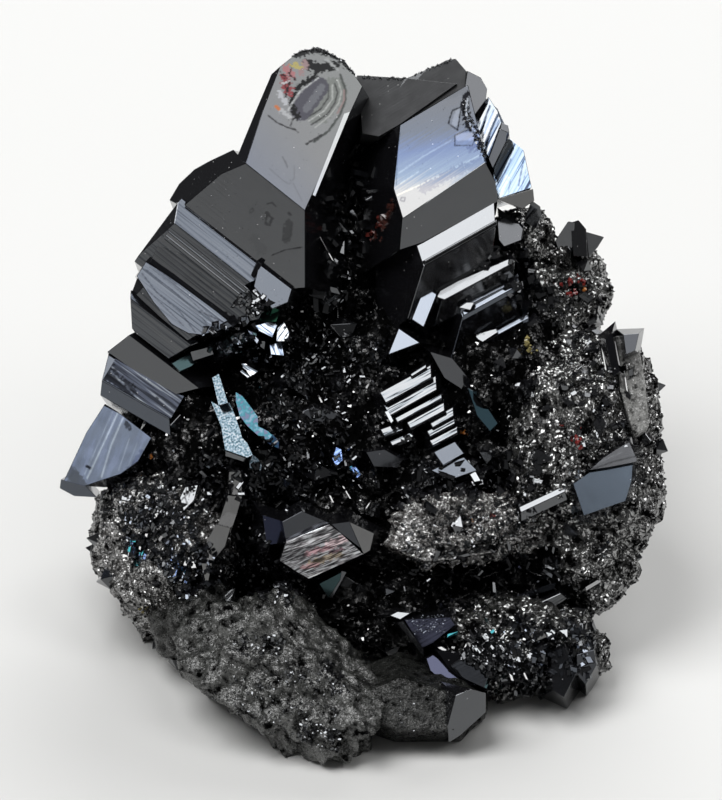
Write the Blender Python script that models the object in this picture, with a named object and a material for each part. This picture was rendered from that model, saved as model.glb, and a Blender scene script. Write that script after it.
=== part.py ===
"""Cassiterite specimen: stepped black crystals in a V, grown together with a rough granular mass.

Everything is laid out on the show side, in millimetres: across to the right, up along the show
side, and out of it. The show side leans back from upright, and the finished solid stands on a
flat broken base at z = 0.
"""

import math
import random

import bmesh
import bpy
from mathutils import Matrix, Vector, noise

MM = 0.001
NODE = "cassiterite_cluster"
SHOW_SIDE_LEAN = math.radians(35.0)
SHOW_SIDE_DROP = 17.9
CUTTER_SIZE = 120.0

RISE_LEAN = 25.0
FALL_LEAN = 25.0
FLANK_LEAN = 82.0
STEP_DEPTH = 9.0
BLOCK_SIDE_LEAN = 80.0
HULL_TOLERANCE = 1e-4
CORNER_WELD = 0.02
WELD = 0.0005
FLATNESS = math.radians(0.5)

GRAIN_SEED = 11
BACK_SEED = 4
GRAIN_STRETCH = 1.35
GRAIN_SIZES = (0.6, 1.25)
GRAIN_SINK = 0.97


def facing(lean, toward):
    """Unit normal that leans from straight out, in degrees, toward a direction on the show side."""
    lean, toward = math.radians(lean), math.radians(toward)
    return Vector(
        (
            math.sin(lean) * math.cos(toward),
            math.sin(lean) * math.sin(toward),
            math.cos(lean),
        )
    )


def square_to(normal, line):
    """The normal turned just enough to stand square to a line that its face has to hold."""
    line = line.normalized()
    return (normal - line * normal.dot(line)).normalized()


def corners_of(planes):
    """Corners of the convex solid that lies behind every plane, each a point and a normal."""
    corners = []
    count = len(planes)
    for i in range(count):
        for j in range(i + 1, count):
            for k in range(j + 1, count):
                rows = Matrix((planes[i][1], planes[j][1], planes[k][1]))
                if abs(rows.determinant()) < HULL_TOLERANCE:
                    continue
                offsets = Vector([planes[n][0].dot(planes[n][1]) for n in (i, j, k)])
                corner = rows.inverted() @ offsets
                if all((corner - p).dot(n) < HULL_TOLERANCE for p, n in planes):
                    corners.append(corner)
    return corners


def solid_of(name, corners):
    """Closed convex mesh object round a set of corners."""
    shape = bmesh.new()
    for corner in corners:
        shape.verts.new(corner)
    bmesh.ops.remove_doubles(shape, verts=shape.verts, dist=CORNER_WELD)
    hull = bmesh.ops.convex_hull(shape, input=shape.verts)
    loose = [v for v in hull["geom_interior"] + hull["geom_unused"] if isinstance(v, bmesh.types.BMVert)]
    bmesh.ops.delete(shape, geom=list(set(loose)), context="VERTS")
    bmesh.ops.dissolve_limit(shape, angle_limit=FLATNESS, verts=shape.verts, edges=shape.edges)
    bmesh.ops.recalc_face_normals(shape, faces=shape.faces)
    return object_of(name, shape)


def object_of(name, shape):
    """Scene object from a bmesh, which is freed."""
    mesh = bpy.data.meshes.new(name)
    shape.to_mesh(mesh)
    shape.free()
    made = bpy.data.objects.new(name, mesh)
    bpy.context.scene.collection.objects.link(made)
    return made


def step(name, left, right, rise, fall, ends, leans=(RISE_LEAN, FALL_LEAN), depth=STEP_DEPTH, clips=()):
    """One growth step: a ridge from left to right, a face rising to it and one falling away."""
    left, right = Vector(left), Vector(right)
    line = right - left
    up = math.degrees(math.atan2(line.y, line.x)) + 90.0
    uphill = Vector((math.cos(math.radians(up)), math.sin(math.radians(up)), 0.0))
    planes = [
        (left, square_to(facing(leans[0], up), line)),
        (left, square_to(facing(leans[1], up - 180.0), line)),
        (left + uphill * rise, square_to(facing(FLANK_LEAN, up), line)),
        (left - uphill * fall, square_to(facing(FLANK_LEAN, up - 180.0), line)),
        (left, facing(*ends[0])),
        (right, facing(*ends[1])),
        (left - Vector((0.0, 0.0, depth)), facing(180.0, 0.0)),
    ]
    planes.extend((Vector(at), facing(*lean)) for at, lean in clips)
    return solid_of(name, corners_of(planes))


def block(name, outline, out, front, depth, sides=BLOCK_SIDE_LEAN, clips=()):
    """Crystal with one flat front face of a convex outline, and sides that flare toward the back."""
    face = facing(*front)
    first = Vector((*outline[0], out))
    lifted = []
    for across, up in outline:
        drop = (Vector((across, up, out)) - first).dot(face) / face.z
        lifted.append(Vector((across, up, out - drop)))
    middle = sum(lifted, Vector()) / len(lifted)
    leans = sides if isinstance(sides, (list, tuple)) else [sides] * len(outline)
    planes = [(first, face)]
    for start, end, lean in zip(lifted, lifted[1:] + lifted[:1], leans):
        line = end - start
        outward = Vector((line.y, -line.x, 0.0))
        if outward.dot(start - middle) < 0:
            outward = -outward
        toward = math.degrees(math.atan2(outward.y, outward.x))
        planes.append((start, square_to(facing(lean, toward), line)))
    planes.append((middle - Vector((0.0, 0.0, depth)), facing(180.0, 0.0)))
    planes.extend((Vector(at), facing(*lean)) for at, lean in clips)
    return solid_of(name, corners_of(planes))


def skin_of(name, radii, direction):
    """Place of a lump's smooth skin in a direction, from its middle."""
    place = Vector([direction[n] * radii[n] for n in range(3)])
    turn, cuts = LUMP_FACES.get(name, (0.0, ()))
    place.rotate(Matrix.Rotation(math.radians(turn), 3, "Z"))
    for aim, reach in cuts:
        over = place.dot(facing(*aim)) / reach
        if over > 1.0:
            place /= over
    return place


def lump(name, centre, radii, roughness, grain, seed, fineness=3):
    """Rough closed lump: a ball drawn out to three radii, cut by flat faces and pitted with noise."""
    shape = bmesh.new()
    bmesh.ops.create_icosphere(shape, subdivisions=fineness, radius=1.0)
    shift = Vector((seed * 7.3, seed * 3.1, seed * 5.7))
    for vertex in shape.verts:
        place = skin_of(name, radii, vertex.co.normalized())
        bump = noise.noise(place / grain + shift) + 0.5 * noise.noise(place / grain * 2.3 - shift)
        vertex.co = Vector(centre) + place * (1.0 + roughness * bump)
    return object_of(name, shape)


def grain_crystal(name, centre, size, rng):
    """Small blunt double pyramid in a random position."""
    shape = bmesh.new()
    tips = [(1, 0, 0), (-1, 0, 0), (0, 1, 0), (0, -1, 0), (0, 0, GRAIN_STRETCH), (0, 0, -GRAIN_STRETCH)]
    turn = Matrix.Rotation(rng.uniform(0, math.tau), 3, Vector([rng.gauss(0, 1) for _ in range(3)]))
    for tip in tips:
        shape.verts.new(Vector(centre) + turn @ Vector(tip) * size)
    bmesh.ops.convex_hull(shape, input=shape.verts)
    bmesh.ops.recalc_face_normals(shape, faces=shape.faces)
    return object_of(name, shape)


def grains_on(name, centre, radii, count, size, rng, back_limit):
    """Grain crystals sown over the outside of a lump."""
    made = []
    while len(made) < count:
        direction = Vector([rng.gauss(0, 1) for _ in range(3)]).normalized()
        if direction.z < back_limit:
            continue
        place = Vector(centre) + skin_of(name, radii, direction) * GRAIN_SINK
        grain = f"{name}_grain_{len(made)}"
        made.append(grain_crystal(grain, place, size * rng.uniform(*GRAIN_SIZES), rng))
    return made


def left_crystal():
    """Steps of the big left crystal, from the chipped top face down to the lower left."""
    across_end = (98.0, 141.6)
    lower_end = (80.0, -64.0)
    return [
        block(
            "left_top",
            [(-6.2, 25.6), (-4.7, 26.8), (-3.2, 27.1), (-1.2, 26.0), (0.1, 24.1), (-4.3, 14.5),
            (-8.8, 18.1), (-7.5, 22.2)],
            2.6, (25.0, 51.6), 7.5,
            [94.0, 96.0, 94.0, 90.0, 76.0, 84.0, 52.0, 52.0],
            [((-7.0, 25.9, 2.2), (98.0, 160.5)), ((-9.4, 19.1, 5.2), (98.0, 160.5))],
        ),
        block(
            "left_main",
            [(-8.8, 18.1), (-4.3, 14.5), (-4.3, 8.6), (-5.5, 8.5), (-13.7, 14.8), (-10.7, 17.3)],
            6.0, (25.0, 231.6), 8.0,
            [84.0, 66.0, 84.0, 84.0, 50.0, 50.0],
            [((-10.1, 19.2, 4.8), (98.0, 112.0)), ((-12.7, 18.2, 4.4), (98.0, 130.0)),
            ((-15.0, 15.3, 3.2), (98.0, 150.0))],
        ),
        step("left_step_1", (-15.0, 14.1, 4.2), (-8.5, 9.0, 4.2), 1.75, 4.0, (across_end, lower_end)),
        block(
            "left_patch",
            [(-7.8, 10.4), (-5.3, 8.5), (-5.6, 7.5), (-6.8, 7.0), (-8.2, 8.7)],
            3.9, (25.0, 51.6), 5.0,
        ),
        step(
            "left_step_2", (-17.2, 9.1, 3.4), (-12.2, 5.0, 3.4), 1.9, 1.3, (across_end, lower_end),
            clips=[((-16.8, 10.6, 2.8), (98.0, 160.0))],
        ),
        step(
            "left_step_3", (-17.7, 7.8, 3.0), (-13.0, 4.2, 3.0), 0.6, 1.8, ((98.0, 180.0), lower_end),
            clips=[((-17.7, 5.6, 2.4), (98.0, 215.0))],
        ),
        block(
            "left_neck",
            [(-17.8, 5.0), (-12.4, 0.9), (-14.7, 0.3), (-19.5, 3.7)],
            2.0, (25.0, 240.0), 7.0, [98.0, 84.0, 84.0, 98.0],
        ),
        step("left_lobe", (-19.9, 1.5, 1.8), (-14.7, -1.5, 1.8), 2.1, 1.0, ((98.0, 170.0),
            (80.0, 0.0))),
        block(
            "left_foot",
            [(-20.0, -0.1), (-18.7, -0.9), (-16.1, -2.9), (-17.1, -4.7), (-18.5, -5.7), (-21.2, -6.6),
            (-23.1, -6.1), (-22.5, -4.7), (-21.1, -2.5)],
            0.6, (22.0, 70.0), 6.0, [95.0, 95.0, 80.0, 75.0, 84.0, 92.0, 97.0, 97.0, 97.0],
        ),
        block(
            "left_foot_chip",
            [(-23.1, -6.1), (-21.2, -6.6), (-20.3, -7.5), (-22.1, -7.4), (-23.2, -6.8)],
            -0.5, (35.0, 250.0), 4.0, [84.0, 84.0, 96.0, 97.0, 97.0],
        ),
    ]


def right_crystal():
    """Steps of the big right crystal and the dark face behind the notch of the V."""
    inner = (62.0, 184.0)
    outer = (97.0, 0.0)
    return [
        block(
            "right_back",
            [(-0.3, 25.1), (3.6, 24.8), (8.2, 24.2), (3.0, 21.2), (1.6, 20.2), (0.1, 20.5)],
            -4.5, (48.0, 121.0), 6.0,
            [94.0, 94.0, 84.0, 80.0, 80.0, 84.0],
        ),
        block(
            "right_peak",
            [(2.8, 23.8), (4.3, 25.0), (6.6, 26.2), (7.3, 26.3), (8.2, 25.2), (8.2, 24.2), (3.0, 21.2)],
            -1.9, (48.0, 121.0), 7.0,
            [88.0, 94.0, 94.0, 94.0, 84.0, 84.0, 80.0],
        ),
        block(
            "right_top",
            [(3.0, 21.1), (8.2, 24.2), (9.6, 18.2), (3.2, 13.9), (2.5, 16.2)],
            2.2, (25.0, 121.0), 7.5,
            [90.0, 88.0, 84.0, 66.0, 66.0],
        ),
        block(
            "right_main",
            [(3.2, 13.9), (9.5, 18.2), (10.3, 16.7), (10.5, 15.2), (4.8, 12.1), (3.0, 11.5)],
            5.0, (25.0, -59.0), 8.0,
            [84.0, 92.0, 92.0, 84.0, 84.0, 64.0],
        ),
        step("right_step_1", (4.8, 10.2, 4.6), (10.3, 13.2, 4.6), 1.8, 2.6, (inner, outer),
            (25.0, 44.0)),
        step("right_step_2", (6.2, 7.6, 2.5), (11.8, 10.5, 2.5), 0.3, 1.3, (inner, outer),
            (25.0, 42.0)),
        step("right_step_3", (7.8, 6.3, 1.8), (12.1, 8.8, 1.8), 0.75, 1.9, (inner, outer),
            (25.0, 42.0)),
        step("right_step_4", (8.3, 3.8, 0.2), (12.9, 6.3, 0.2), 0.35, 1.2, (inner, outer),
            (25.0, 42.0)),
        block(
            "right_body",
            [(3.2, 11.9), (6.1, 12.3), (10.7, 11.9), (12.2, 8.5), (12.8, 6.6), (9.2, 4.2), (5.3, 5.8),
            (3.3, 8.5)],
            -1.6, (6.0, -60.0), 6.0, 84.0,
        ),
        block("right_facet_tall", [(4.9, 8.7), (5.8, 8.1), (4.8, 5.6), (3.9, 6.2)], 2.4, (24.0, 118.0),
            5.0),
        block("right_facet_low", [(2.9, 5.5), (4.5, 4.4), (2.1, 3.5)], 1.8, (24.0, 118.0), 5.0),
    ]


def back_right_crystal():
    """Smaller striated crystal behind the right one."""
    return [
        block(
            "back_cap", [(8.2, 25.3), (9.2, 24.8), (9.7, 23.9), (9.6, 23.1), (8.5, 21.6), (7.9, 23.4)],
            0.6, (24.0, 56.0), 6.0, [95.0, 95.0, 95.0, 80.0, 80.0, 80.0],
        ),
        block(
            "back_bands", [(9.6, 23.2), (10.5, 22.4), (11.4, 20.4), (10.2, 17.8), (9.3, 19.2),
                (8.6, 21.5)],
            0.4, (25.0, 110.0), 7.0, [95.0, 95.0, 80.0, 80.0, 80.0, 80.0],
        ),
        block(
            "back_face", [(11.3, 20.2), (12.5, 19.2), (13.1, 16.3), (10.5, 15.4), (10.1, 17.7)],
            0.2, (27.0, 110.0), 7.0, [95.0, 96.0, 60.0, 80.0, 80.0],
            [((13.2, 15.8, 0.0), (97.0, 0.0)), ((12.4, 14.7, 0.0), (97.0, -70.0))],
        ),
        block("back_foot", [(10.5, 14.3), (12.5, 13.4), (12.4, 12.4), (10.8, 11.8)],
            0.4, (20.0, 200.0), 6.0, 90.0),
        block("back_nub", [(13.1, 15.4), (13.8, 14.9), (13.9, 14.2), (13.5, 13.2), (12.6, 13.7)],
            -1.0, (20.0, -60.0), 5.0, 94.0),
    ]


def ladder():
    """Narrow bright steps that run down from the V toward the lower right."""
    ends = ((70.0, 200.0), (75.0, 10.0))
    ridges = [
        ((2.1, -0.2, 2.7), (5.4, 1.6, 2.7), 0.5, 0.5),
        ((2.7, -1.2, 2.5), (5.8, 0.6, 2.5), 0.7, 0.5),
        ((3.2, -2.4, 2.3), (6.5, -0.7, 2.3), 0.6, 0.5),
        ((2.4, -3.4, 2.0), (6.8, -1.5, 2.0), 0.45, 0.6),
        ((4.5, -4.0, 1.8), (7.5, -2.8, 1.8), 0.6, 0.6),
        ((5.8, -5.0, 1.7), (8.0, -3.9, 1.7), 0.8, 0.6),
        ((6.7, -6.0, 1.5), (8.7, -4.9, 1.5), 0.6, 0.8),
    ]
    return [
        step(f"ladder_{n}", left, right, rise, fall, ends, (25.0, 42.0), 5.0)
        for n, (left, right, rise, fall) in enumerate(ridges)
    ]


def plates():
    """Thin pale and teal plates and grey blades that stand in the middle."""
    return [
        block("plate_tip", [(-11.4, 1.8), (-10.9, 2.0), (-10.2, -0.4), (-10.9, -0.5)],
            2.9, (23.0, 119.0), 5.0, 88.0),
        block("plate_middle", [(-11.5, -0.1), (-10.2, -0.1), (-8.5, -3.8), (-10.2, -3.8)],
            2.9, (23.0, 119.0), 5.0, 88.0),
        block("plate_end", [(-10.2, -3.6), (-8.5, -3.6), (-7.6, -4.7), (-7.6, -5.4), (-8.7, -4.6)],
            2.6, (23.0, 119.0), 5.0, 88.0),
        block("teal_top", [(-9.6, 0.5), (-9.2, 0.3), (-8.2, -0.9), (-7.8, -2.0), (-8.5, -1.8),
            (-9.4, -0.8)], 2.3, (23.0, 119.0), 5.0, 88.0),
        block("teal_end", [(-8.5, -1.7), (-7.8, -1.9), (-6.9, -2.6), (-6.2, -3.7), (-7.3, -3.2),
            (-8.1, -2.5)], 2.2, (23.0, 119.0), 5.0, 88.0),
        block("blade", [(-10.0, -6.2), (-9.2, -6.2), (-9.2, -7.0), (-10.4, -10.5), (-11.3, -12.0),
            (-11.8, -11.5)], 2.6, (24.0, -75.0), 5.0, 86.0),
        block("shard", [(-13.9, -7.5), (-13.5, -6.7), (-12.5, -6.5), (-12.8, -7.7), (-13.6, -8.5)],
            2.4, (24.0, 120.0), 4.0),
        block("curved_blade_top", [(5.3, 3.8), (7.0, 3.2), (8.4, 1.5), (8.1, 0.6), (6.4, 1.8)],
            2.4, (22.0, -40.0), 5.0),
        block("curved_blade_end", [(8.1, 1.5), (9.5, 0.2), (10.7, -1.9), (9.8, -2.2), (8.5, -0.6)],
            2.0, (22.0, -40.0), 5.0),
        block("middle_blade", [(-4.2, -0.9), (-2.4, -0.8), (-0.5, -1.5), (0.1, -2.5), (-2.1, -1.9),
            (-3.8, -1.5)], 1.6, (24.0, 80.0), 4.0),
        block("dark_blade", [(-0.5, -3.1), (1.5, -3.5), (3.0, -5.4), (2.7, -6.5), (0.8, -5.4)],
            2.2, (18.0, 220.0), 5.0),
    ]


def low_crystals():
    """Crystals of the lower half: centre, right lobe, lower right and bottom."""
    return [
        block(
            "centre_crystal",
            [(-5.7, -10.7), (-2.3, -9.5), (-1.2, -10.9), (0.1, -11.8), (-3.9, -13.6), (-5.7, -12.9),
            (-6.2, -12.1)],
            6.6, (24.0, -70.0), 6.0, [46.0, 70.0, 70.0, 80.0, 80.0, 80.0, 62.0],
        ),
        block("centre_wing", [(-1.1, -9.3), (1.1, -10.3), (0.5, -11.6), (-1.2, -10.9)],
            5.6, (25.0, -20.0), 5.0),
        block(
            "tongue_face",
            [(2.2, -11.2), (3.3, -8.6), (6.1, -7.7), (9.3, -8.3), (12.2, -10.0), (10.7, -11.5),
            (7.0, -12.2), (4.5, -12.3)],
            7.2, (12.0, 60.0), 5.0, 70.0,
        ),
        block(
            "lobe_facet", [(16.3, -6.4), (17.5, -5.4), (20.9, -4.5), (20.8, -6.0), (20.1, -8.1),
                (17.2, -8.8)],
            7.4, (20.0, 40.0), 5.0,
        ),
        block("back_prism_1", [(15.0, 12.3), (16.0, 13.8), (16.5, 13.7), (16.3, 11.1), (15.5, 10.9)],
            -4.4, (22.0, -80.0), 5.0, 90.0),
        block("back_prism_2", [(16.2, 13.7), (16.8, 13.9), (17.4, 13.2), (17.5, 11.1), (16.4, 11.1)],
            -4.2, (14.0, 20.0), 5.0, 90.0),
        block("back_prism_3", [(17.4, 13.0), (18.8, 12.6), (18.3, 11.8), (17.6, 11.0)],
            -4.6, (24.0, -50.0), 5.0, 90.0),
        block("lobe_facet_top", [(17.5, -4.0), (20.5, -2.8), (21.0, -4.4), (17.5, -5.4)],
            6.6, (34.0, 70.0), 5.0),
        block("lobe_slope", [(19.5, 4.9), (21.5, 5.1), (21.8, 1.5), (22.4, -1.8), (21.0, -2.8),
            (19.9, 0.6)], 3.0, (30.0, 30.0), 6.0,
            [96.0, 96.0, 96.0, 80.0, 80.0, 80.0]),
        step("lobe_bar", (12.2, -8.6, 6.6), (15.6, -7.0, 6.6), 0.4, 0.6, ((80.0, 190.0), (80.0, 10.0)),
            (25.0, 35.0), 5.0),
        block("corner_facet", [(2.8, -17.2), (6.1, -17.4), (8.4, -19.6), (7.8, -21.9), (5.1, -21.2),
            (4.6, -19.1)], 4.0, (18.0, 70.0), 5.0),
        block("corner_rhomb", [(2.2, -16.5), (2.8, -16.2), (3.8, -16.3), (3.0, -16.8)],
            4.6, (24.0, 118.0), 4.0),
        block("corner_blade", [(12.2, -16.2), (15.3, -14.8), (15.8, -15.2), (13.0, -17.1)],
            4.4, (20.0, -60.0), 5.0),
        block(
            "foot_crystal",
            [(7.3, -22.7), (8.5, -21.9), (9.5, -22.5), (9.5, -23.8), (7.5, -26.0), (6.4, -26.8),
            (5.2, -25.4)],
            9.4, (20.0, -40.0), 6.0, [60.0, 92.0, 92.0, 92.0, 92.0, 84.0, 60.0],
        ),
        block(
            "foot_rock",
            [(0.4, -22.3), (3.0, -21.2), (6.8, -22.3), (7.8, -24.0), (6.2, -26.8), (4.5, -26.0),
            (2.4, -25.2), (0.5, -25.2)],
            9.0, (12.0, 80.0), 7.0, 74.0,
        ),
    ]


LUMPS = (
    ("core", (-0.7, -4.0, -7.8), (16.6, 14.6, 9.0), 0.20, 3.6, 1, 3, 44, 1.2, 0.0),
    ("trench_floor", (-0.7, 5.4, -10.2), (7.0, 10.0, 5.5), 0.16, 3.0, 2, 2, 12, 0.8, 0.3),
    ("back", (-0.1, 10.2, -9.0), (10.5, 12.0, 6.0), 0.16, 4.0, 3, 2, 0, 0.8, 0.0),
    ("back_foot_mass", (-0.4, -4.8, -14.0), (15.0, 7.0, 7.0), 0.16, 4.0, 13, 2, 0, 0.8, 0.0),
    ("hollow", (4.9, -15.5, -2.6), (11.5, 4.6, 5.5), 0.18, 3.0, 14, 2, 8, 0.8, 0.2),
    ("hollow_right", (14.4, -13.2, -2.0), (4.6, 4.6, 5.0), 0.18, 3.0, 18, 2, 4, 0.8, 0.2),
    ("middle_left", (-10.7, -4.6, -2.4), (6.5, 6.5, 4.5), 0.24, 2.4, 11, 2, 20, 0.8, 0.2),
    ("right_shoulder", (11.5, 0.0, -3.4), (6.0, 7.0, 6.0), 0.22, 2.4, 12, 2, 12, 0.8, 0.2),
    ("crust", (-15.0, -11.2, -3.2), (5.7, 6.7, 6.6), 0.20, 3.0, 4, 3, 30, 0.8, -0.5),
    ("crust_foot", (-12.6, -17.1, -0.6), (3.3, 3.5, 5.0), 0.20, 2.6, 15, 2, 10, 0.8, -0.5),
    ("lobe", (17.4, -4.2, -0.5), (6.2, 9.6, 8.4), 0.12, 3.0, 6, 3, 14, 0.8, -0.5),
    ("lobe_foot", (17.3, -11.5, -1.2), (3.9, 4.7, 5.6), 0.20, 2.6, 17, 2, 10, 0.8, -0.5),
    ("back_druse", (15.2, 8.2, -8.0), (3.7, 4.4, 5.0), 0.26, 2.4, 7, 2, 12, 0.8, -0.5),
    ("tongue", (8.1, -9.8, 3.6), (5.6, 2.4, 4.2), 0.18, 2.4, 8, 2, 6, 0.6, 0.0),
    ("corner", (11.6, -18.8, 0.8), (6.8, 4.0, 5.6), 0.20, 2.6, 9, 3, 18, 0.8, -0.5),
    ("bridge", (12.4, 12.6, -5.4), (2.5, 2.4, 3.6), 0.16, 2.4, 19, 1, 0, 0.8, 0.0),
    ("foot", (4.4, -23.5, 4.2), (5.0, 2.6, 5.0), 0.18, 2.6, 10, 2, 0, 0.8, 0.0),
    ("boulder", (-5.8, -20.5, 5.6), (10.0, 6.0, 7.4), 0.10, 2.2, 5, 4, 0, 0.8, 0.0),
)
# Turn on the show side and flat faces, an aim and a distance each, of the lumps that have them
LUMP_FACES = {
    "lobe": (
        0.0,
        (((22.0, 165.0), 6.6), ((48.0, 10.0), 5.4), ((60.0, 95.0), 7.4), ((38.0, -80.0), 6.6),
        ((90.0, 0.0), 5.7)),
    ),
    "crust": (0.0, (((90.0, -140.0), 5.3),)),
    "boulder": (
        -40.0,
        (
            ((10.0, 150.0), 4.2), ((60.0, 50.0), 4.0), ((90.0, 45.0), 4.4), ((90.0, -125.0), 4.8),
            ((90.0, 130.0), 7.4), ((90.0, -38.0), 8.2), ((60.0, -120.0), 5.7), ((50.0, 140.0), 5.6),
        ),
    ),
}


def back_side():
    """Larger blunt crystals over the back, which the show side hides."""
    rng = random.Random(BACK_SEED)
    spots = (
        ((-7.6, 10.6, -8.5), 3.8), ((-4.7, 15.0, -8.0), 3.6), ((-1.2, 12.3, -11.5), 4.2),
        ((3.4, 14.2, -8.0), 3.8),
        ((6.8, 10.6, -8.5), 3.8), ((8.4, 6.2, -11.0), 4.2), ((-10.5, 5.4, -8.5), 4.0),
        ((-4.7, 5.4, -13.5), 4.6),
        ((2.6, 4.6, -13.8), 4.6), ((10.7, 0.8, -12.0), 4.4), ((-12.4, -1.5, -10.0), 4.4),
        ((-7.6, -1.2, -15.5), 4.6),
        ((-0.8, -2.3, -17.0), 4.6), ((6.1, -1.9, -16.5), 4.6), ((13.0, -4.6, -10.5), 4.2),
        ((-14.3, -6.9, -9.0), 4.0),
    )
    return [grain_crystal(f"back_crystal_{n}", spot, size, rng) for n, (spot, size) in enumerate(spots)]


def rough_mass():
    """Rough granular lumps with small crystals sown over them."""
    rng = random.Random(GRAIN_SEED)
    made = []
    for name, centre, radii, roughness, grain, seed, fineness, count, size, back in LUMPS:
        made.append(lump(name, centre, radii, roughness, grain, seed, fineness))
        made.extend(grains_on(name, centre, radii, count, size, rng, back))
    return made


def with_boolean(base, operation, **operands):
    """Mesh of an object after one exact Boolean."""
    change = base.modifiers.new(operation.lower(), "BOOLEAN")
    change.operation = operation
    change.solver = "EXACT"
    for key, value in operands.items():
        setattr(change, key, value)
    bpy.context.view_layer.update()
    seen = base.evaluated_get(bpy.context.evaluated_depsgraph_get())
    mesh = bpy.data.meshes.new_from_object(seen)
    base.modifiers.remove(change)
    return mesh


def joined(pieces):
    """One mesh object: the union of every piece."""
    base, *others = pieces
    group = bpy.data.collections.new("grown_together")
    for piece in others:
        bpy.context.scene.collection.objects.unlink(piece)
        group.objects.link(piece)
    mesh = with_boolean(base, "UNION", operand_type="COLLECTION", collection=group)
    for piece in pieces:
        bpy.data.objects.remove(piece, do_unlink=True)
    bpy.data.collections.remove(group)
    made = bpy.data.objects.new(NODE, mesh)
    bpy.context.scene.collection.objects.link(made)
    return made


def stood_up(specimen):
    """Lean the show side back and cut the specimen flat where it rests."""
    stand = Matrix.Rotation(math.radians(90.0) - SHOW_SIDE_LEAN, 4, "X")
    specimen.data.transform(Matrix.Translation((0.0, 0.0, SHOW_SIDE_DROP)) @ stand)
    shape = bmesh.new()
    bmesh.ops.create_cube(shape, size=CUTTER_SIZE)
    bmesh.ops.translate(shape, verts=shape.verts, vec=(0.0, 0.0, -CUTTER_SIZE / 2))
    ground = object_of("ground", shape)
    specimen.data = with_boolean(specimen, "DIFFERENCE", object=ground)
    bpy.data.objects.remove(ground, do_unlink=True)


def largest_part(shape):
    """Keep the part with the most faces and drop crumbs that hang on by a corner or not at all."""
    left = set(shape.faces)
    parts = []
    while left:
        front = [left.pop()]
        part = list(front)
        while front:
            for edge in front.pop().edges:
                for face in edge.link_faces:
                    if face in left:
                        left.remove(face)
                        part.append(face)
                        front.append(face)
        parts.append(part)
    parts.sort(key=len)
    crumbs = [face for part in parts[:-1] for face in part]
    bmesh.ops.delete(shape, geom=crumbs, context="FACES")


def cleaned(specimen):
    """Weld, drop crumbs, put the origin under the middle and turn millimetres into metres."""
    shape = bmesh.new()
    shape.from_mesh(specimen.data)
    bmesh.ops.remove_doubles(shape, verts=shape.verts, dist=WELD)
    bmesh.ops.dissolve_degenerate(shape, dist=WELD, edges=shape.edges)
    largest_part(shape)
    bmesh.ops.triangulate(shape, faces=shape.faces)
    across = [v.co.x for v in shape.verts]
    along = [v.co.y for v in shape.verts]
    middle = Vector(((min(across) + max(across)) / 2, (min(along) + max(along)) / 2, 0.0))
    bmesh.ops.translate(shape, verts=shape.verts, vec=-middle)
    bmesh.ops.scale(shape, verts=shape.verts, vec=(MM, MM, MM))
    shape.to_mesh(specimen.data)
    shape.free()


def black_crystal():
    """Near-black lustrous mineral."""
    material = bpy.data.materials.new("cassiterite")
    material.use_nodes = True
    shader = material.node_tree.nodes["Principled BSDF"]
    shader.inputs["Base Color"].default_value = (0.012, 0.012, 0.014, 1.0)
    shader.inputs["Roughness"].default_value = 0.12
    shader.inputs["IOR"].default_value = 2.0
    return material


def build():
    """Make the whole specimen."""
    for thing in list(bpy.data.objects):
        bpy.data.objects.remove(thing, do_unlink=True)
    pieces = rough_mass() + back_side()
    for group in (left_crystal, right_crystal, back_right_crystal, ladder, plates, low_crystals):
        pieces.extend(group())
    specimen = joined(pieces)
    stood_up(specimen)
    cleaned(specimen)
    specimen.data.materials.clear()
    specimen.data.materials.append(black_crystal())
    return specimen


build()
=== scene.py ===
"""Looks of the cassiterite specimen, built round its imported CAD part.

The crystals, plates and rough lumps are laid out on the same leaning show side as the CAD part,
in millimetres: across to the right, up along the show side, and out of it.
"""

import logging
import math
import random
from dataclasses import dataclass, field
from enum import Enum
from typing import Iterable, Sequence

import bmesh
import bpy
from mathutils import Matrix, Vector, noise
from mathutils.bvhtree import BVHTree


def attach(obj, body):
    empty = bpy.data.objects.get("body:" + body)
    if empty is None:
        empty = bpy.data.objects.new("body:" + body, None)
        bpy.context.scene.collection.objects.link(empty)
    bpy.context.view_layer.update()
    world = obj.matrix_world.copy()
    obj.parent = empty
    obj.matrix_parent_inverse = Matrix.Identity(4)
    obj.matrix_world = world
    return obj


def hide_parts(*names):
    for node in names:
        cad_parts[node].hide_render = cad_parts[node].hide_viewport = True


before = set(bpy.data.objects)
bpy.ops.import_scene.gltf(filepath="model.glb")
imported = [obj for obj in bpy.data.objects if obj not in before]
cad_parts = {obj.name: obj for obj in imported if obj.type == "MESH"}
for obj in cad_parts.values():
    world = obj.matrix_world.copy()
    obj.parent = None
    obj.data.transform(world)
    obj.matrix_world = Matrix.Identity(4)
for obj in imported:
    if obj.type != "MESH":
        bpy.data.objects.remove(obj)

LOG = logging.getLogger("specimen")
CAD_NODE = "cassiterite_cluster"
MM = 0.001
HULL_TOLERANCE = 1e-4
CORNER_WELD = 0.02
FLATNESS = math.radians(0.4)
MARK_GRID = 0.075
MARK_EDGE = 0.08
SHARP = math.radians(12.0)
LINE_DEPTH = 0.00004
DUST_SIZE = 0.075
DUST_SHARE = 0.55
DUST_COLOUR = (0.3, 0.3, 0.3, 1.0)
# Painted shade colour of the pits in rough rock.
PIT_SHADE_COLOUR = (0.002, 0.002, 0.002, 1.0)
GRAIN_STRETCH = 1.35
HILLOCKS = 9
CRUMBS = 5

Point = tuple[float, ...]
Aim = tuple[float, float]
Plane = tuple[Vector, Vector]


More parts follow.
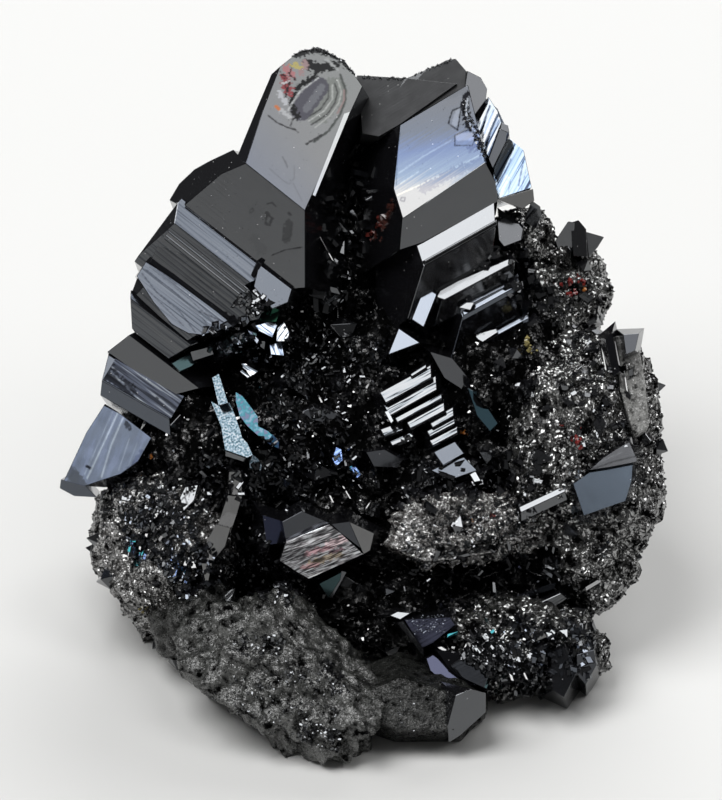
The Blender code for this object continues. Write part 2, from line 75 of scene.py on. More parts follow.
class Tint(Enum):
    """Painted colours of a face's mirror image: how bright and what colour its reflection is painted, from
    white to dark, in place of the light and shade that fall on it.
    """

    WHITE = (1.0, 1.0, 1.0)
    NEUTRAL = (0.93, 0.96, 1.0)
    DIM = (0.36, 0.38, 0.42)
    DARK = (0.12, 0.13, 0.15)
    STEEL = (0.78, 0.86, 1.0)
    BLUE = (0.35, 0.5, 0.9)
    PALE = (0.72, 0.85, 1.0)
    TEAL = (0.12, 0.62, 0.7)
    SLATE = (0.6, 0.62, 0.66)
    SEA = (0.2, 0.34, 0.36)
    HAZE = (0.5, 0.62, 0.78)
    DUSK = (0.45, 0.48, 0.75)
    MOSS = (0.05, 0.2, 0.12)
    NAVY = (0.12, 0.14, 0.26)
    LAGOON = (0.05, 0.11, 0.14)


@dataclass(frozen=True)
class ShowSide:
    """The leaning side of the specimen that faces the viewer.

    Args:
        lean: how far it leans back from upright, in radians.
        drop: height of its middle over the ground, in millimetres.
        middle: where the middle of the CAD part's box lies, in millimetres.
    """

    lean: float = math.radians(35.0)
    drop: float = 17.9
    middle: Point = (0.20406, -1.05704)

    def matrix(self) -> Matrix:
        """Return the matrix from show side millimetres to metres in the part's frame."""
        stand = Matrix.Rotation(math.radians(90.0) - self.lean, 4, "X")
        place = Matrix.Translation((-self.middle[0], -self.middle[1], self.drop))
        return Matrix.Scale(MM, 4) @ place @ stand

    def height(self, point: Vector) -> float:
        """Return how high a show side point lies over the ground, in millimetres."""
        return point.y * math.cos(self.lean) + point.z * math.sin(self.lean) + self.drop


SHOW = ShowSide()


def facing(lean: float, toward: float) -> Vector:
    """Return the unit normal that leans from straight out toward a direction, both in degrees."""
    lean, toward = math.radians(lean), math.radians(toward)
    flat = math.sin(lean)
    return Vector((flat * math.cos(toward), flat * math.sin(toward), math.cos(lean)))


def square_to(normal: Vector, line: Vector) -> Vector:
    """Return the normal turned just enough to stand square to a line."""
    line = line.normalized()
    return (normal - line * normal.dot(line)).normalized()


def corners_of(planes: Sequence[Plane]) -> list[Vector]:
    """Return the corners of the convex solid behind every plane.

    Args:
        planes: a point and an outward unit normal each.
    """
    corners = []
    count = len(planes)
    for i in range(count):
        for j in range(i + 1, count):
            for k in range(j + 1, count):
                rows = Matrix((planes[i][1], planes[j][1], planes[k][1]))
                if abs(rows.determinant()) < HULL_TOLERANCE:
                    continue
                offsets = Vector([planes[n][0].dot(planes[n][1]) for n in (i, j, k)])
                corner = rows.inverted() @ offsets
                if all((corner - p).dot(n) < HULL_TOLERANCE for p, n in planes):
                    corners.append(corner)
    return corners


def above_ground(corners: Sequence[Vector]) -> list[Vector]:
    """Return corners of the part of a convex solid that lies above the ground."""
    heights = [SHOW.height(corner) for corner in corners]
    kept = [corner for corner, height in zip(corners, heights) if height >= 0.0]
    for high, top in zip(corners, heights):
        for low, bottom in zip(corners, heights):
            if top > 0.0 > bottom:
                kept.append(high.lerp(low, top / (top - bottom)))
    return kept


def distance_to(path: Sequence[Point], place: Vector) -> float:
    """Return how far a place on the show side lies from a line of corners."""
    corners = [Vector(corner[:2]) for corner in path]
    best = math.inf
    for start, stop in zip(corners, corners[1:]):
        way = stop - start
        share = min(max((place - start).dot(way) / way.length_squared, 0.0), 1.0)
        best = min(best, (start + way * share - place).length)
    return best


@dataclass(frozen=True)
class Mark:
    """A mark on a face: a stain, a crack, a ripple of a chip, a painted highlight or a line of painted shade.

    Args:
        path: its middle line on the show side.
        width: half its breadth, in millimetres.
        tint: what it multiplies the face's painted tint by, a colour or one number for a grey; above one it
            paints a highlight.
        ragged: how far its edge wanders, in millimetres.
        depth: how far it is sunk, in millimetres.
    """

    path: Sequence[Point]
    width: float
    tint: Point | float
    ragged: float = 0.03
    depth: float = 0.0

    def weight(self, place: Vector) -> float:
        """Return how fully it covers a place on the show side, from 0 to 1."""
        near = distance_to(self.path, place)
        if near > self.width + self.ragged + MARK_EDGE:
            return 0.0
        near += self.ragged * noise.noise(Vector((*place, 0.0)) * 5.0)
        return min(max((self.width - near) / MARK_EDGE + 0.5, 0.0), 1.0)

    def over(self, shade: Vector) -> Vector:
        """Return the tint that it gives to a face of another tint."""
        own = self.tint if isinstance(self.tint, tuple) else (self.tint,) * 3
        return Vector([a * b for a, b in zip(shade, own)])


class Cluster:
    """Convex crystals gathered into one mesh piece.

    Every face keeps its own flat coordinates, across and along its growth lines, in millimetres,
    and a painted tint of its mirror image that its finish reads.
    """

    def __init__(self, name: str, bevel: float = 0.035) -> None:
        """Start an empty piece."""
        self.name = name
        self.bevel = bevel
        self.shape = bmesh.new()
        self.lines = self.shape.loops.layers.uv.new("growth")
        self.tint = self.shape.loops.layers.float_color.new("tint")
        self.rng = random.Random(name)

    def add(
        self, corners: Sequence[Vector], grain: Vector, tint: Tint, bevel: float | None = None,
        front: Vector | None = None, flank: Tint | None = None, marks: Sequence[Mark] = (),
    ) -> None:
        """Add one convex crystal.

        Args:
            corners: its corners on the show side.
            grain: direction that its growth lines run in.
            tint: painted colour of its mirror image.
            bevel: width of its edge facets, or None for the cluster's own.
            front: normal of the face that alone has the tint, or None for all of them.
            flank: tint of every other face.
            marks: marks on the face that has the tint.
        """
        corners = above_ground(corners)
        if len(corners) < 4:
            return
        one = bmesh.new()
        for corner in corners:
            one.verts.new(corner)
        bmesh.ops.remove_doubles(one, verts=one.verts, dist=CORNER_WELD)
        hull = bmesh.ops.convex_hull(one, input=one.verts)
        left_over = hull["geom_interior"] + hull["geom_unused"]
        spare = {v for v in left_over if isinstance(v, bmesh.types.BMVert)}
        bmesh.ops.delete(one, geom=list(spare), context="VERTS")
        bmesh.ops.dissolve_limit(one, angle_limit=FLATNESS, verts=one.verts, edges=one.edges)
        bmesh.ops.recalc_face_normals(one, faces=one.faces)
        width = self.bevel if bevel is None else bevel
        if width > 0.0:
            sharp = [e for e in one.edges if e.calc_face_angle(0.0) > SHARP]
            bmesh.ops.bevel(one, geom=sharp, offset=width, segments=1, affect="EDGES", clamp_overlap=True)
        self._take(one, grain, tint, front, flank or tint, marks)

    def add_plate(
        self, corners: Sequence[Vector], depth: float, grain: Vector, tint: Tint, flank: Tint | None
    ) -> None:
        """Add one plate with a front face of any outline.

        Args:
            corners: corners of its front face.
            depth: how far back it is solid.
            grain: direction that its growth lines run in.
            tint: painted colour of its mirror image.
            flank: tint of its sides, or None for the same.
        """
        one = bmesh.new()
        tops = [one.verts.new(corner) for corner in corners]
        lows = [one.verts.new(corner - Vector((0.0, 0.0, depth))) for corner in corners]
        front = one.faces.new(tops)
        one.faces.new(lows[::-1])
        for n, top in enumerate(tops):
            one.faces.new((top, lows[n], lows[n - 1], tops[n - 1]))
        bmesh.ops.recalc_face_normals(one, faces=one.faces)
        one.normal_update()
        self._take(one, grain, tint, front.normal.copy(), flank or tint, ())

    def _take(
        self, one: bmesh.types.BMesh, grain: Vector, tint: Tint, front: Vector | None, flank: Tint,
        marks: Sequence[Mark],
    ) -> None:
        """Copy one crystal's faces into the cluster with their flat coordinates."""
        made = {v: self.shape.verts.new(v.co) for v in one.verts}
        shift = self.rng.uniform(0.0, 40.0)
        for face in one.faces:
            along = square_to(grain, face.normal)
            across = face.normal.cross(along)
            is_front = front is None or face.normal.dot(front) > 0.999
            if marks and is_front:
                self._marked(face, across, along, shift, Vector(tint.value), marks)
                continue
            copy = self.shape.faces.new([made[v] for v in face.verts])
            shade = tint if is_front else flank
            for loop in copy.loops:
                loop[self.lines].uv = (loop.vert.co.dot(across) + shift, loop.vert.co.dot(along))
                loop[self.tint] = (*shade.value, 1.0)
        one.free()

    def _marked(
        self, face: bmesh.types.BMFace, across: Vector, along: Vector, shift: float, shade: Vector,
        marks: Sequence[Mark],
    ) -> None:
        """Copy one face as a fine grid whose tint and depth follow its marks."""
        corners = [v.co for v in face.verts]
        base = face.normal * corners[0].dot(face.normal)
        lows = [min(corner.dot(way) for corner in corners) for way in (across, along)]
        highs = [max(corner.dot(way) for corner in corners) for way in (across, along)]
        counts = [max(int((high - low) / MARK_GRID), 1) for low, high in zip(lows, highs)]
        grid = bmesh.new()
        rows = []
        for i in range(counts[0] + 1):
            start = base + across * (lows[0] + (highs[0] - lows[0]) * i / counts[0])
            steps = [lows[1] + (highs[1] - lows[1]) * j / counts[1] for j in range(counts[1] + 1)]
            rows.append([grid.verts.new(start + along * step) for step in steps])
        for row, after in zip(rows, rows[1:]):
            for j in range(counts[1]):
                grid.faces.new((row[j], row[j + 1], after[j + 1], after[j]))
        for start, stop in zip(corners, corners[1:] + corners[:1]):
            geom = [*grid.verts, *grid.edges, *grid.faces]
            outward = (stop - start).cross(face.normal)
            bmesh.ops.bisect_plane(
                grid, geom=geom, dist=1e-5, plane_co=start, plane_no=outward, clear_outer=True
            )
        made, shades = {}, {}
        for vertex in grid.verts:
            place = vertex.co.to_2d()
            colour, sunk = shade.copy(), 0.0
            for mark in marks:
                share = mark.weight(place)
                if share > 0.0:
                    colour = colour.lerp(mark.over(shade), share)
                    sunk += share * mark.depth
            made[vertex] = self.shape.verts.new(vertex.co - face.normal * sunk)
            shades[vertex] = (*colour, 1.0)
        for cell in grid.faces:
            copy = self.shape.faces.new([made[v] for v in cell.verts])
            copy.smooth = True
            for loop, vertex in zip(copy.loops, cell.verts):
                loop[self.lines].uv = (vertex.co.dot(across) + shift, vertex.co.dot(along))
                loop[self.tint] = shades[vertex]
        grid.free()

    def finish(self, finish: "Finish") -> bpy.types.Object:
        """Return the scene object, in metres in the part's frame.

        Args:
            finish: what it is made of.
        """
        self.shape.transform(SHOW.matrix())
        mesh = bpy.data.meshes.new(self.name)
        self.shape.to_mesh(mesh)
        self.shape.free()
        mesh.materials.append(finish.material())
        made = bpy.data.objects.new(self.name, mesh)
        bpy.context.scene.collection.objects.link(made)
        return made


@dataclass
class Step:
    """A growth step: a ridge with one face that rises to it and one that falls away.

    Args:
        left: left end of the ridge.
        right: right end of the ridge.
        rise: width of the rising face.
        fall: width of the falling face.
        ends: aims of the two end faces.
        leans: leans of the rising and falling face.
        depth: how far back the step is solid.
        clips: more faces, a point and an aim each.
        tint: painted colour of its mirror image.
        flank: tint of all but the rising face, or None for the same.
    """

    left: Point
    right: Point
    rise: float
    fall: float
    ends: tuple[Aim, Aim]
    leans: Aim = (25.0, 25.0)
    depth: float = 7.0
    clips: Sequence[tuple[Point, Aim]] = ()
    tint: Tint = Tint.NEUTRAL
    flank: Tint | None = None

    def planes(self) -> list[Plane]:
        """Return the faces as planes."""
        left, right = Vector(self.left), Vector(self.right)
        line = right - left
        up = math.degrees(math.atan2(line.y, line.x)) + 90.0
        uphill = Vector((math.cos(math.radians(up)), math.sin(math.radians(up)), 0.0))
        planes = [
            (left, square_to(facing(self.leans[0], up), line)),
            (left, square_to(facing(self.leans[1], up - 180.0), line)),
            (left + uphill * self.rise, square_to(facing(84.0, up), line)),
            (left - uphill * self.fall, square_to(facing(84.0, up - 180.0), line)),
            (left, facing(*self.ends[0])),
            (right, facing(*self.ends[1])),
            (left - Vector((0.0, 0.0, self.depth)), facing(180.0, 0.0)),
        ]
        planes.extend((Vector(at), facing(*aim)) for at, aim in self.clips)
        return planes

    def add_to(self, cluster: Cluster) -> None:
        """Add the step to a cluster."""
        grain = Vector(self.right) - Vector(self.left)
        planes = self.planes()
        front = planes[0][1] if self.flank else None
        cluster.add(corners_of(planes), grain, self.tint, front=front, flank=self.flank)


@dataclass
class Block:
    """A crystal with one flat front face of a convex outline, and sides that go back from it.

    Args:
        outline: corners of the front face.
        out: how far out its first corner lies.
        front: aim of the front face.
        depth: how far back the block is solid.
        sides: lean of the sides, one for all or one each.
        clips: more faces, a point and an aim each.
        grain: direction of its growth lines, in degrees.
        tint: painted colour of its mirror image.
        bevel: width of its edge facets, or None for the cluster's own.
        flank: tint of its sides, or None for the same.
        marks: marks on its front face.
    """

    outline: Sequence[Point]
    out: float
    front: Aim
    depth: float = 5.0
    sides: float | Sequence[float] = 80.0
    clips: Sequence[tuple[Point, Aim]] = ()
    grain: float = 30.0
    tint: Tint = Tint.NEUTRAL
    bevel: float | None = None
    flank: Tint | None = None
    marks: Sequence[Mark] = ()

    def lifted(self) -> list[Vector]:
        """Return the outline with every corner on the front face."""
        face = facing(*self.front)
        first = Vector((*self.outline[0], self.out))
        lifted = []
        for across, up in self.outline:
            drop = (Vector((across, up, self.out)) - first).dot(face) / face.z
            lifted.append(Vector((across, up, self.out - drop)))
        return lifted

    def planes(self) -> list[Plane]:
        """Return the faces as planes."""
        corners = self.lifted()
        middle = sum(corners, Vector()) / len(corners)
        leans = self.sides if isinstance(self.sides, (list, tuple)) else [self.sides] * len(corners)
        planes = [(corners[0], facing(*self.front))]
        for start, end, lean in zip(corners, corners[1:] + corners[:1], leans):
            line = end - start
            outward = Vector((line.y, -line.x, 0.0))
            if outward.dot(start - middle) < 0:
                outward = -outward
            toward = math.degrees(math.atan2(outward.y, outward.x))
            planes.append((start, square_to(facing(lean, toward), line)))
        planes.append((middle - Vector((0.0, 0.0, self.depth)), facing(180.0, 0.0)))
        planes.extend((Vector(at), facing(*aim)) for at, aim in self.clips)
        return planes

    def add_to(self, cluster: Cluster) -> None:
        """Add the block to a cluster."""
        grain = facing(90.0, self.grain)
        corners, front = corners_of(self.planes()), facing(*self.front)
        cluster.add(corners, grain, self.tint, self.bevel, front, self.flank, self.marks)


@dataclass
class Plate(Block):
    """A flat crystal with one front face of any outline and straight sides."""

    def add_to(self, cluster: Cluster) -> None:
        """Add the plate to a cluster."""
        cluster.add_plate(self.lifted(), self.depth, facing(90.0, self.grain), self.tint, self.flank)


def fill(tree: bpy.types.NodeTree, node: bpy.types.Node, inputs: dict[str | int, object]) -> None:
    """Set or link the inputs of a node.

    Args:
        tree: the node's tree.
        node: the node.
        inputs: a value or another node's output for each input's name or number.
    """
    for key, value in inputs.items():
        if isinstance(value, bpy.types.NodeSocket):
            tree.links.new(value, node.inputs[key])
        else:
            node.inputs[key].default_value = value


def add_node(
    tree: bpy.types.NodeTree, kind: str, inputs: dict[str | int, object] | None = None, **settings: object
) -> bpy.types.Node:
    """Add a node and return it.

    Args:
        tree: the tree that it goes into.
        kind: its type.
        inputs: a value or another node's output for each input's name or number.
        settings: its own properties.
    """
    node = tree.nodes.new(kind)
    for name, value in settings.items():
        setattr(node, name, value)
    fill(tree, node, inputs or {})
    return node


def blend(
    tree: bpy.types.NodeTree, share: object, first: object, second: object, how: str = "MIX"
) -> bpy.types.NodeSocket:
    """Return the blend of two colours, each a value or another node's output."""
    inputs = {0: share, 6: first, 7: second}
    return add_node(tree, "ShaderNodeMix", inputs, data_type="RGBA", blend_type=how).outputs[2]


@dataclass(frozen=True)
class Finish:
    """A finish with its own node material.

    Args:
        name: name of the material.
        colour: base colour.
        roughness: how blurred its mirror image is.
        ior: strength of its mirror image.
    """

    name: str
    colour: Point = (0.006, 0.006, 0.007)
    roughness: float = 0.07
    ior: float = 2.0

    def material(self) -> bpy.types.Material:
        """Return the material, made once."""
        made = bpy.data.materials.get(self.name)
        if made is None:
            made = bpy.data.materials.new(self.name)
            made.use_nodes = True
            shader = made.node_tree.nodes["Principled BSDF"]
            shader.inputs["Base Color"].default_value = (*self.colour, 1.0)
            shader.inputs["Roughness"].default_value = self.roughness
            shader.inputs["IOR"].default_value = self.ior
            self.dress(made.node_tree, shader)
        return made

    def dress(self, tree: bpy.types.NodeTree, shader: bpy.types.Node) -> None:
        """Add nodes to the plain material."""


@dataclass(frozen=True)
class GrownFace(Finish):
    """Mirror faces with fine growth lines, faint stains and dust, and a painted reflection tint on each face.

    Args:
        lines: strength of the growth lines.
        fineness: growth lines across, per millimetre.
        breaks: how often a growth line changes along its run, per millimetre.
    """

    lines: float = 0.25
    fineness: float = 7.0
    breaks: float = 0.25

    def dress(self, tree: bpy.types.NodeTree, shader: bpy.types.Node) -> None:
        """Add growth lines and uneven polish."""
        flat = add_node(tree, "ShaderNodeUVMap", uv_map="growth")
        stretch = add_node(tree, "ShaderNodeMapping", {
            "Vector": flat.outputs["UV"], "Scale": (self.fineness, self.breaks, 1.0),
        })
        streaks = add_node(tree, "ShaderNodeTexNoise", {
            "Vector": stretch.outputs["Vector"], "Scale": 1.0, "Detail": 3.0,
        }, label="streaks")
        bump = add_node(tree, "ShaderNodeBump", {
            "Height": streaks.outputs["Fac"], "Strength": self.lines, "Distance": LINE_DEPTH,
        })
        place = add_node(tree, "ShaderNodeTexCoord").outputs["Object"]
        spots = add_node(tree, "ShaderNodeTexNoise", {"Vector": place, "Scale": 900.0, "Detail": 4.0})
        polish = add_node(tree, "ShaderNodeMapRange", {
            "Value": spots.outputs["Fac"], "From Min": 0.35, "From Max": 0.75,
            "To Min": self.roughness, "To Max": self.roughness + 0.08,
        })
        # Each face's painted reflection tint goes to the specular tint.
        tint = add_node(tree, "ShaderNodeAttribute", attribute_name="tint")
        fill(tree, shader, {
            "Normal": bump.outputs["Normal"], "Roughness": polish.outputs["Result"],
            "Specular Tint": tint.outputs["Color"], "Base Color": self._dusty(tree, place),
        })

    def _dusty(self, tree: bpy.types.NodeTree, place: bpy.types.NodeSocket) -> bpy.types.NodeSocket:
        """Return the base colour with scattered pale dust."""
        cells = add_node(tree, "ShaderNodeTexVoronoi", {"Vector": place, "Scale": 1500.0})
        near = add_node(tree, "ShaderNodeMath", {
            0: cells.outputs["Distance"], 1: DUST_SIZE,
        }, operation="LESS_THAN")
        split = add_node(tree, "ShaderNodeSeparateColor", {"Color": cells.outputs["Color"]})
        some = add_node(tree, "ShaderNodeMath", {
            0: split.outputs["Red"], 1: DUST_SHARE,
        }, operation="GREATER_THAN")
        sides = {0: near.outputs["Value"], 1: some.outputs["Value"]}
        both = add_node(tree, "ShaderNodeMath", sides, operation="MULTIPLY")
        return blend(tree, both.outputs["Value"], (*self.colour, 1.0), DUST_COLOUR)


@dataclass(frozen=True)
class GradedFace(GrownFace):
    """Mirror face whose painted tint changes across its growth lines, in painted bands of reflection.

    Args:
        start: show side point where the first tint holds.
        stop: show side point where the last tint holds.
        stops: shares of the way and the colours there.
        waver: how far the streaks shift the tints.
    """

    start: Point = (0.0, -500.0, 0.0)
    stop: Point = (0.0, 500.0, 0.0)
    stops: Sequence[tuple[float, Point]] = ()
    waver: float = 2.0

    def dress(self, tree: bpy.types.NodeTree, shader: bpy.types.Node) -> None:
        """Add the growth lines, then tints that follow them."""
        super().dress(tree, shader)
        streaks = next(n for n in tree.nodes if n.label == "streaks")
        own = next(n for n in tree.nodes if n.bl_idname == "ShaderNodeAttribute")
        first, last = (SHOW.matrix() @ Vector(end) for end in (self.start, self.stop))
        way = (last - first) / (last - first).length_squared
        place = add_node(tree, "ShaderNodeTexCoord")
        across = add_node(tree, "ShaderNodeVectorMath", {
            0: place.outputs["Object"], 1: way,
        }, operation="DOT_PRODUCT")
        shift = add_node(tree, "ShaderNodeMath", {
            0: across.outputs["Value"], 1: first.dot(way) + self.waver * 0.5,
        }, operation="SUBTRACT")
        wave = add_node(tree, "ShaderNodeMath", {
            0: streaks.outputs["Fac"], 1: self.waver, 2: shift.outputs["Value"],
        }, operation="MULTIPLY_ADD")
        ramp = add_node(tree, "ShaderNodeValToRGB", {"Fac": wave.outputs["Value"]})
        elements = ramp.color_ramp.elements
        while len(elements) < len(self.stops):
            elements.new(0.5)
        for element, (share, colour) in zip(elements, self.stops):
            element.position = share
            element.color = (*colour, 1.0)
        tint = blend(tree, 1.0, ramp.outputs["Color"], own.outputs["Color"], "MULTIPLY")
        fill(tree, shader, {"Specular Tint": tint})


@dataclass(frozen=True)
class RoughRock(Finish):
    """Dull granular rock.

    Args:
        bumps: strength of the fine bumps.
        grain: size of the fine bumps, in millimetres.
        pale: lightest colour of its grains.
        hollow: size of its pits, which are painted shade, in millimetres.
        dark: share of the noise that is painted as shaded pits.
        glint: how far its grains' facets lean at random.
    """

    bumps: float = 0.8
    grain: float = 0.35
    pale: Point = (0.05, 0.05, 0.048)
    hollow: float = 1.0
    dark: float = 0.38
    glint: float = 0.8

    def dress(self, tree: bpy.types.NodeTree, shader: bpy.types.Node) -> None:
        """Add grains, uneven colour, uneven polish and painted shade in pits."""
        place = add_node(tree, "ShaderNodeTexCoord").outputs["Object"]
        fineness = 1.0 / (self.grain * MM)
        cells = add_node(tree, "ShaderNodeTexVoronoi", {"Vector": place, "Scale": fineness})
        fine = add_node(tree, "ShaderNodeTexNoise", {
            "Vector": place, "Scale": 2.6 * fineness, "Detail": 5.0,
        })
        height = add_node(tree, "ShaderNodeMath", {
            0: cells.outputs["Distance"], 1: fine.outputs["Fac"],
        }, operation="ADD")
        bump = add_node(tree, "ShaderNodeBump", {
            "Strength": self.bumps, "Distance": self.grain * MM * 0.5, "Height": height.outputs["Value"],
            "Normal": self._facets(tree, cells),
        })
        shade = blend(tree, fine.outputs["Fac"], (*self.colour, 1.0), (*self.pale, 1.0))
        # Painted shade of pits: where the noise is low, the base colour goes to black and the mirror image
        # fades out.
        hollows = add_node(tree, "ShaderNodeTexNoise", {
            "Vector": place, "Scale": 1.0 / (self.hollow * MM), "Detail": 6.0, "Roughness": 0.68,
        })
        light = add_node(tree, "ShaderNodeMapRange", {
            "Value": hollows.outputs["Fac"], "From Min": self.dark, "From Max": self.dark + 0.16,
        }).outputs["Result"]
        mirror = add_node(tree, "ShaderNodeMath", {0: light, 1: 0.5}, operation="MULTIPLY")
        split = add_node(tree, "ShaderNodeSeparateColor", {"Color": cells.outputs["Color"]})
        polish = add_node(tree, "ShaderNodeMapRange", {
            "Value": split.outputs["Red"], "To Min": self.roughness * 0.5, "To Max": self.roughness * 1.5,
        })
        fill(tree, shader, {
            "Normal": bump.outputs["Normal"], "Base Color": blend(tree, light, PIT_SHADE_COLOUR, shade),
            "Specular IOR Level": mirror.outputs["Value"], "Roughness": polish.outputs["Result"],
        })

    def _facets(self, tree: bpy.types.NodeTree, cells: bpy.types.Node) -> bpy.types.NodeSocket:
        """Return the normal, leaning at random from grain to grain."""
        surface = add_node(tree, "ShaderNodeNewGeometry")
        lean = add_node(tree, "ShaderNodeVectorMath", {
            0: cells.outputs["Color"], 1: (self.glint,) * 3, 2: (-0.5 * self.glint,) * 3,
        }, operation="MULTIPLY_ADD")
        aim = add_node(tree, "ShaderNodeVectorMath", {
            0: lean.outputs["Vector"], 1: surface.outputs["Normal"],
        }, operation="ADD")
        unit = add_node(tree, "ShaderNodeVectorMath", {0: aim.outputs["Vector"]}, operation="NORMALIZE")
        return unit.outputs["Vector"]


MIRROR = GrownFace("mirror_black", roughness=0.06, lines=0.1)
SATIN = GrownFace("satin_black", (0.03, 0.03, 0.031), 0.35, 1.9, 0.5)
# The colour ramps of these finishes paint the mirror image lighter and darker in bands across the growth
# lines, or in spots on the plates; on the two top faces they also paint a gradient of reflection from end to
# end, grey to blue to white on the right one.
TOP_GREY = GradedFace(
    "mirror_left_top", roughness=0.07, ior=2.8, lines=0.1, start=(-8.4, 16.9, 5), stop=(-1.2, 22.3, 2),
    stops=((0, (0.42, 0.44, 0.5)), (0.55, (0.49, 0.485, 0.48)), (1, (0.5, 0.5, 0.48))), waver=0.2,
)
STEP_LINES = GradedFace(
    "mirror_step_lines", roughness=0.07, lines=0.15, fineness=5, breaks=0.06,
    stops=((0.3, (0.45, 0.47, 0.5)), (0.46, (0.85, 0.87, 0.9)), (0.68, (1, 1, 1))),
)
TOP_BLUE = GradedFace(
    "mirror_top", roughness=0.08, lines=0.3, start=(5.5, 22.7, 2.2), stop=(6.4, 16, 2.2),
    stops=(
        (0, (0.3, 0.32, 0.36)), (0.3, (0.3, 0.34, 0.42)), (0.5, (0.32, 0.42, 0.7)),
        (0.78, (0.5, 0.64, 0.86)), (0.93, (1, 1, 1)),
    ),
    waver=0.35,
)
WEDGE_LINES = GradedFace(
    "mirror_wedge_lines", roughness=0.1, ior=2.8, lines=0.2, fineness=6, breaks=0.5,
    stops=((0.3, (0.1, 0.12, 0.14)), (0.42, (0.5, 0.56, 0.66)), (0.6, (1, 1, 1))),
)
SLAB_LINES = GradedFace(
    "mirror_slab_lines", roughness=0.08, lines=0.1, fineness=4, breaks=0.2,
    stops=(
        (0.3, (0.1, 0.11, 0.14)), (0.5, (0.28, 0.31, 0.4)), (0.66, (0.42, 0.47, 0.6)),
        (0.74, (0.9, 0.95, 1)),
    ),
)
FOOT_LINES = GradedFace(
    "mirror_foot_lines", roughness=0.08, ior=2.8, lines=0.05, fineness=1.6, breaks=0.3,
    stops=((0.3, (0.36, 0.39, 0.44)), (0.6, (0.4, 0.44, 0.52)), (0.75, (0.46, 0.5, 0.6))),
)
BACK_LINES = GradedFace(
    "mirror_back_lines", roughness=0.08, ior=2.4, lines=0.15, fineness=5, breaks=0.08,
    stops=((0.26, (0.1, 0.12, 0.18)), (0.36, (0.55, 0.66, 0.82)), (0.5, (0.8, 0.9, 1)), (0.66, (1, 1, 1))),
)
CENTRE_LINES = GradedFace(
    "mirror_centre_lines", roughness=0.16, ior=5, lines=0.05, fineness=9, breaks=1,
    stops=((0.3, (0.1, 0.1, 0.1)), (0.46, (0.36, 0.33, 0.34)), (0.58, (0.7, 0.68, 0.68)), (0.7, (1, 1, 1))),
)
LADDER_LINES = GradedFace(
    "mirror_ladder_lines", roughness=0.08, lines=0.2, fineness=5, breaks=0.25,
    stops=((0.3, (0.1, 0.11, 0.12)), (0.38, (0.75, 0.8, 0.84)), (0.55, (1, 1, 1))),
)
PLATE_SPOTS = GradedFace(
    "mirror_plate_spots", roughness=0.12, lines=0.1, fineness=6, breaks=6,
    stops=(
        (0.28, (0.14, 0.24, 0.28)), (0.42, (0.4, 0.56, 0.64)), (0.55, (0.5, 0.68, 0.8)),
        (0.7, (0.9, 0.96, 1)),
    ),
)
TEAL_SPOTS = GradedFace(
    "mirror_teal_spots", roughness=0.12, lines=0.1, fineness=2.4, breaks=2.4,
    stops=(
        (0.34, (0.3, 0.34, 0.5)), (0.46, (0.1, 0.38, 0.46)), (0.6, (0.16, 0.5, 0.6)),
        (0.75, (0.42, 0.6, 0.76)),
    ),
)
SMOOTH = GrownFace("mirror_smooth", roughness=0.1, lines=0.01, ior=2.2)
DRUSE = Finish("druse_black", (0.004, 0.004, 0.005), 0.07, 2.5)
# Painted shade: near-black rock with a weak mirror image, on the lumps of the recesses and the back, darker
# than the rest as if in shade.
DEEP_SHADE = RoughRock(
    "deep_rock", (0.002, 0.002, 0.0025), 0.16, 1.85, 0.3, 0.24, (0.006, 0.006, 0.007), 1.4, 0.48, 1.2,
)
CRUST = RoughRock(
    "crust_rock", (0.022, 0.022, 0.021), 0.1, 3.6, 0.15, 0.22, (0.07, 0.07, 0.066), 1.1, 0.42, 1.3,
)
GRIT = RoughRock(
    "grit_rock", (0.05, 0.048, 0.046), 0.12, 3.6, 0.35, 0.18, (0.125, 0.12, 0.114), 0.95, 0.38, 1.3,
)
SANDY = RoughRock(
    "tongue_rock", (0.06, 0.056, 0.053), 0.14, 3.6, 0.4, 0.17, (0.15, 0.142, 0.134), 0.8, 0.34, 1.2,
)
PALE = RoughRock("edge_rock", (0.13, 0.13, 0.125), 0.3, 1.8, 0.4, 0.14, (0.33, 0.33, 0.32), 0.6, 0.34, 0.6)
DULL = RoughRock(
    "boulder_rock", (0.023, 0.024, 0.022), 0.26, 2.05, 0.5, 0.17, (0.059, 0.061, 0.057), 1.05, 0.39, 0.55,
)
FOOT_ROCK = RoughRock(
    "foot_rock", (0.007, 0.0074, 0.0067), 0.26, 1.55, 0.6, 0.14, (0.026, 0.027, 0.025), 0.8, 0.36, 0.6,
)
ROUGH_FINISHES = {
    "deep": DEEP_SHADE, "crust": CRUST, "boulder": DULL, "tongue": SANDY, "foot": FOOT_ROCK, "grit": GRIT,
}
RIGHT_UP, LEFT_UP = (25.0, 51.6), (25.0, 118.0)
LEFT_DOWN, RIGHT_DOWN = (24.0, 231.0), (24.0, -70.0)


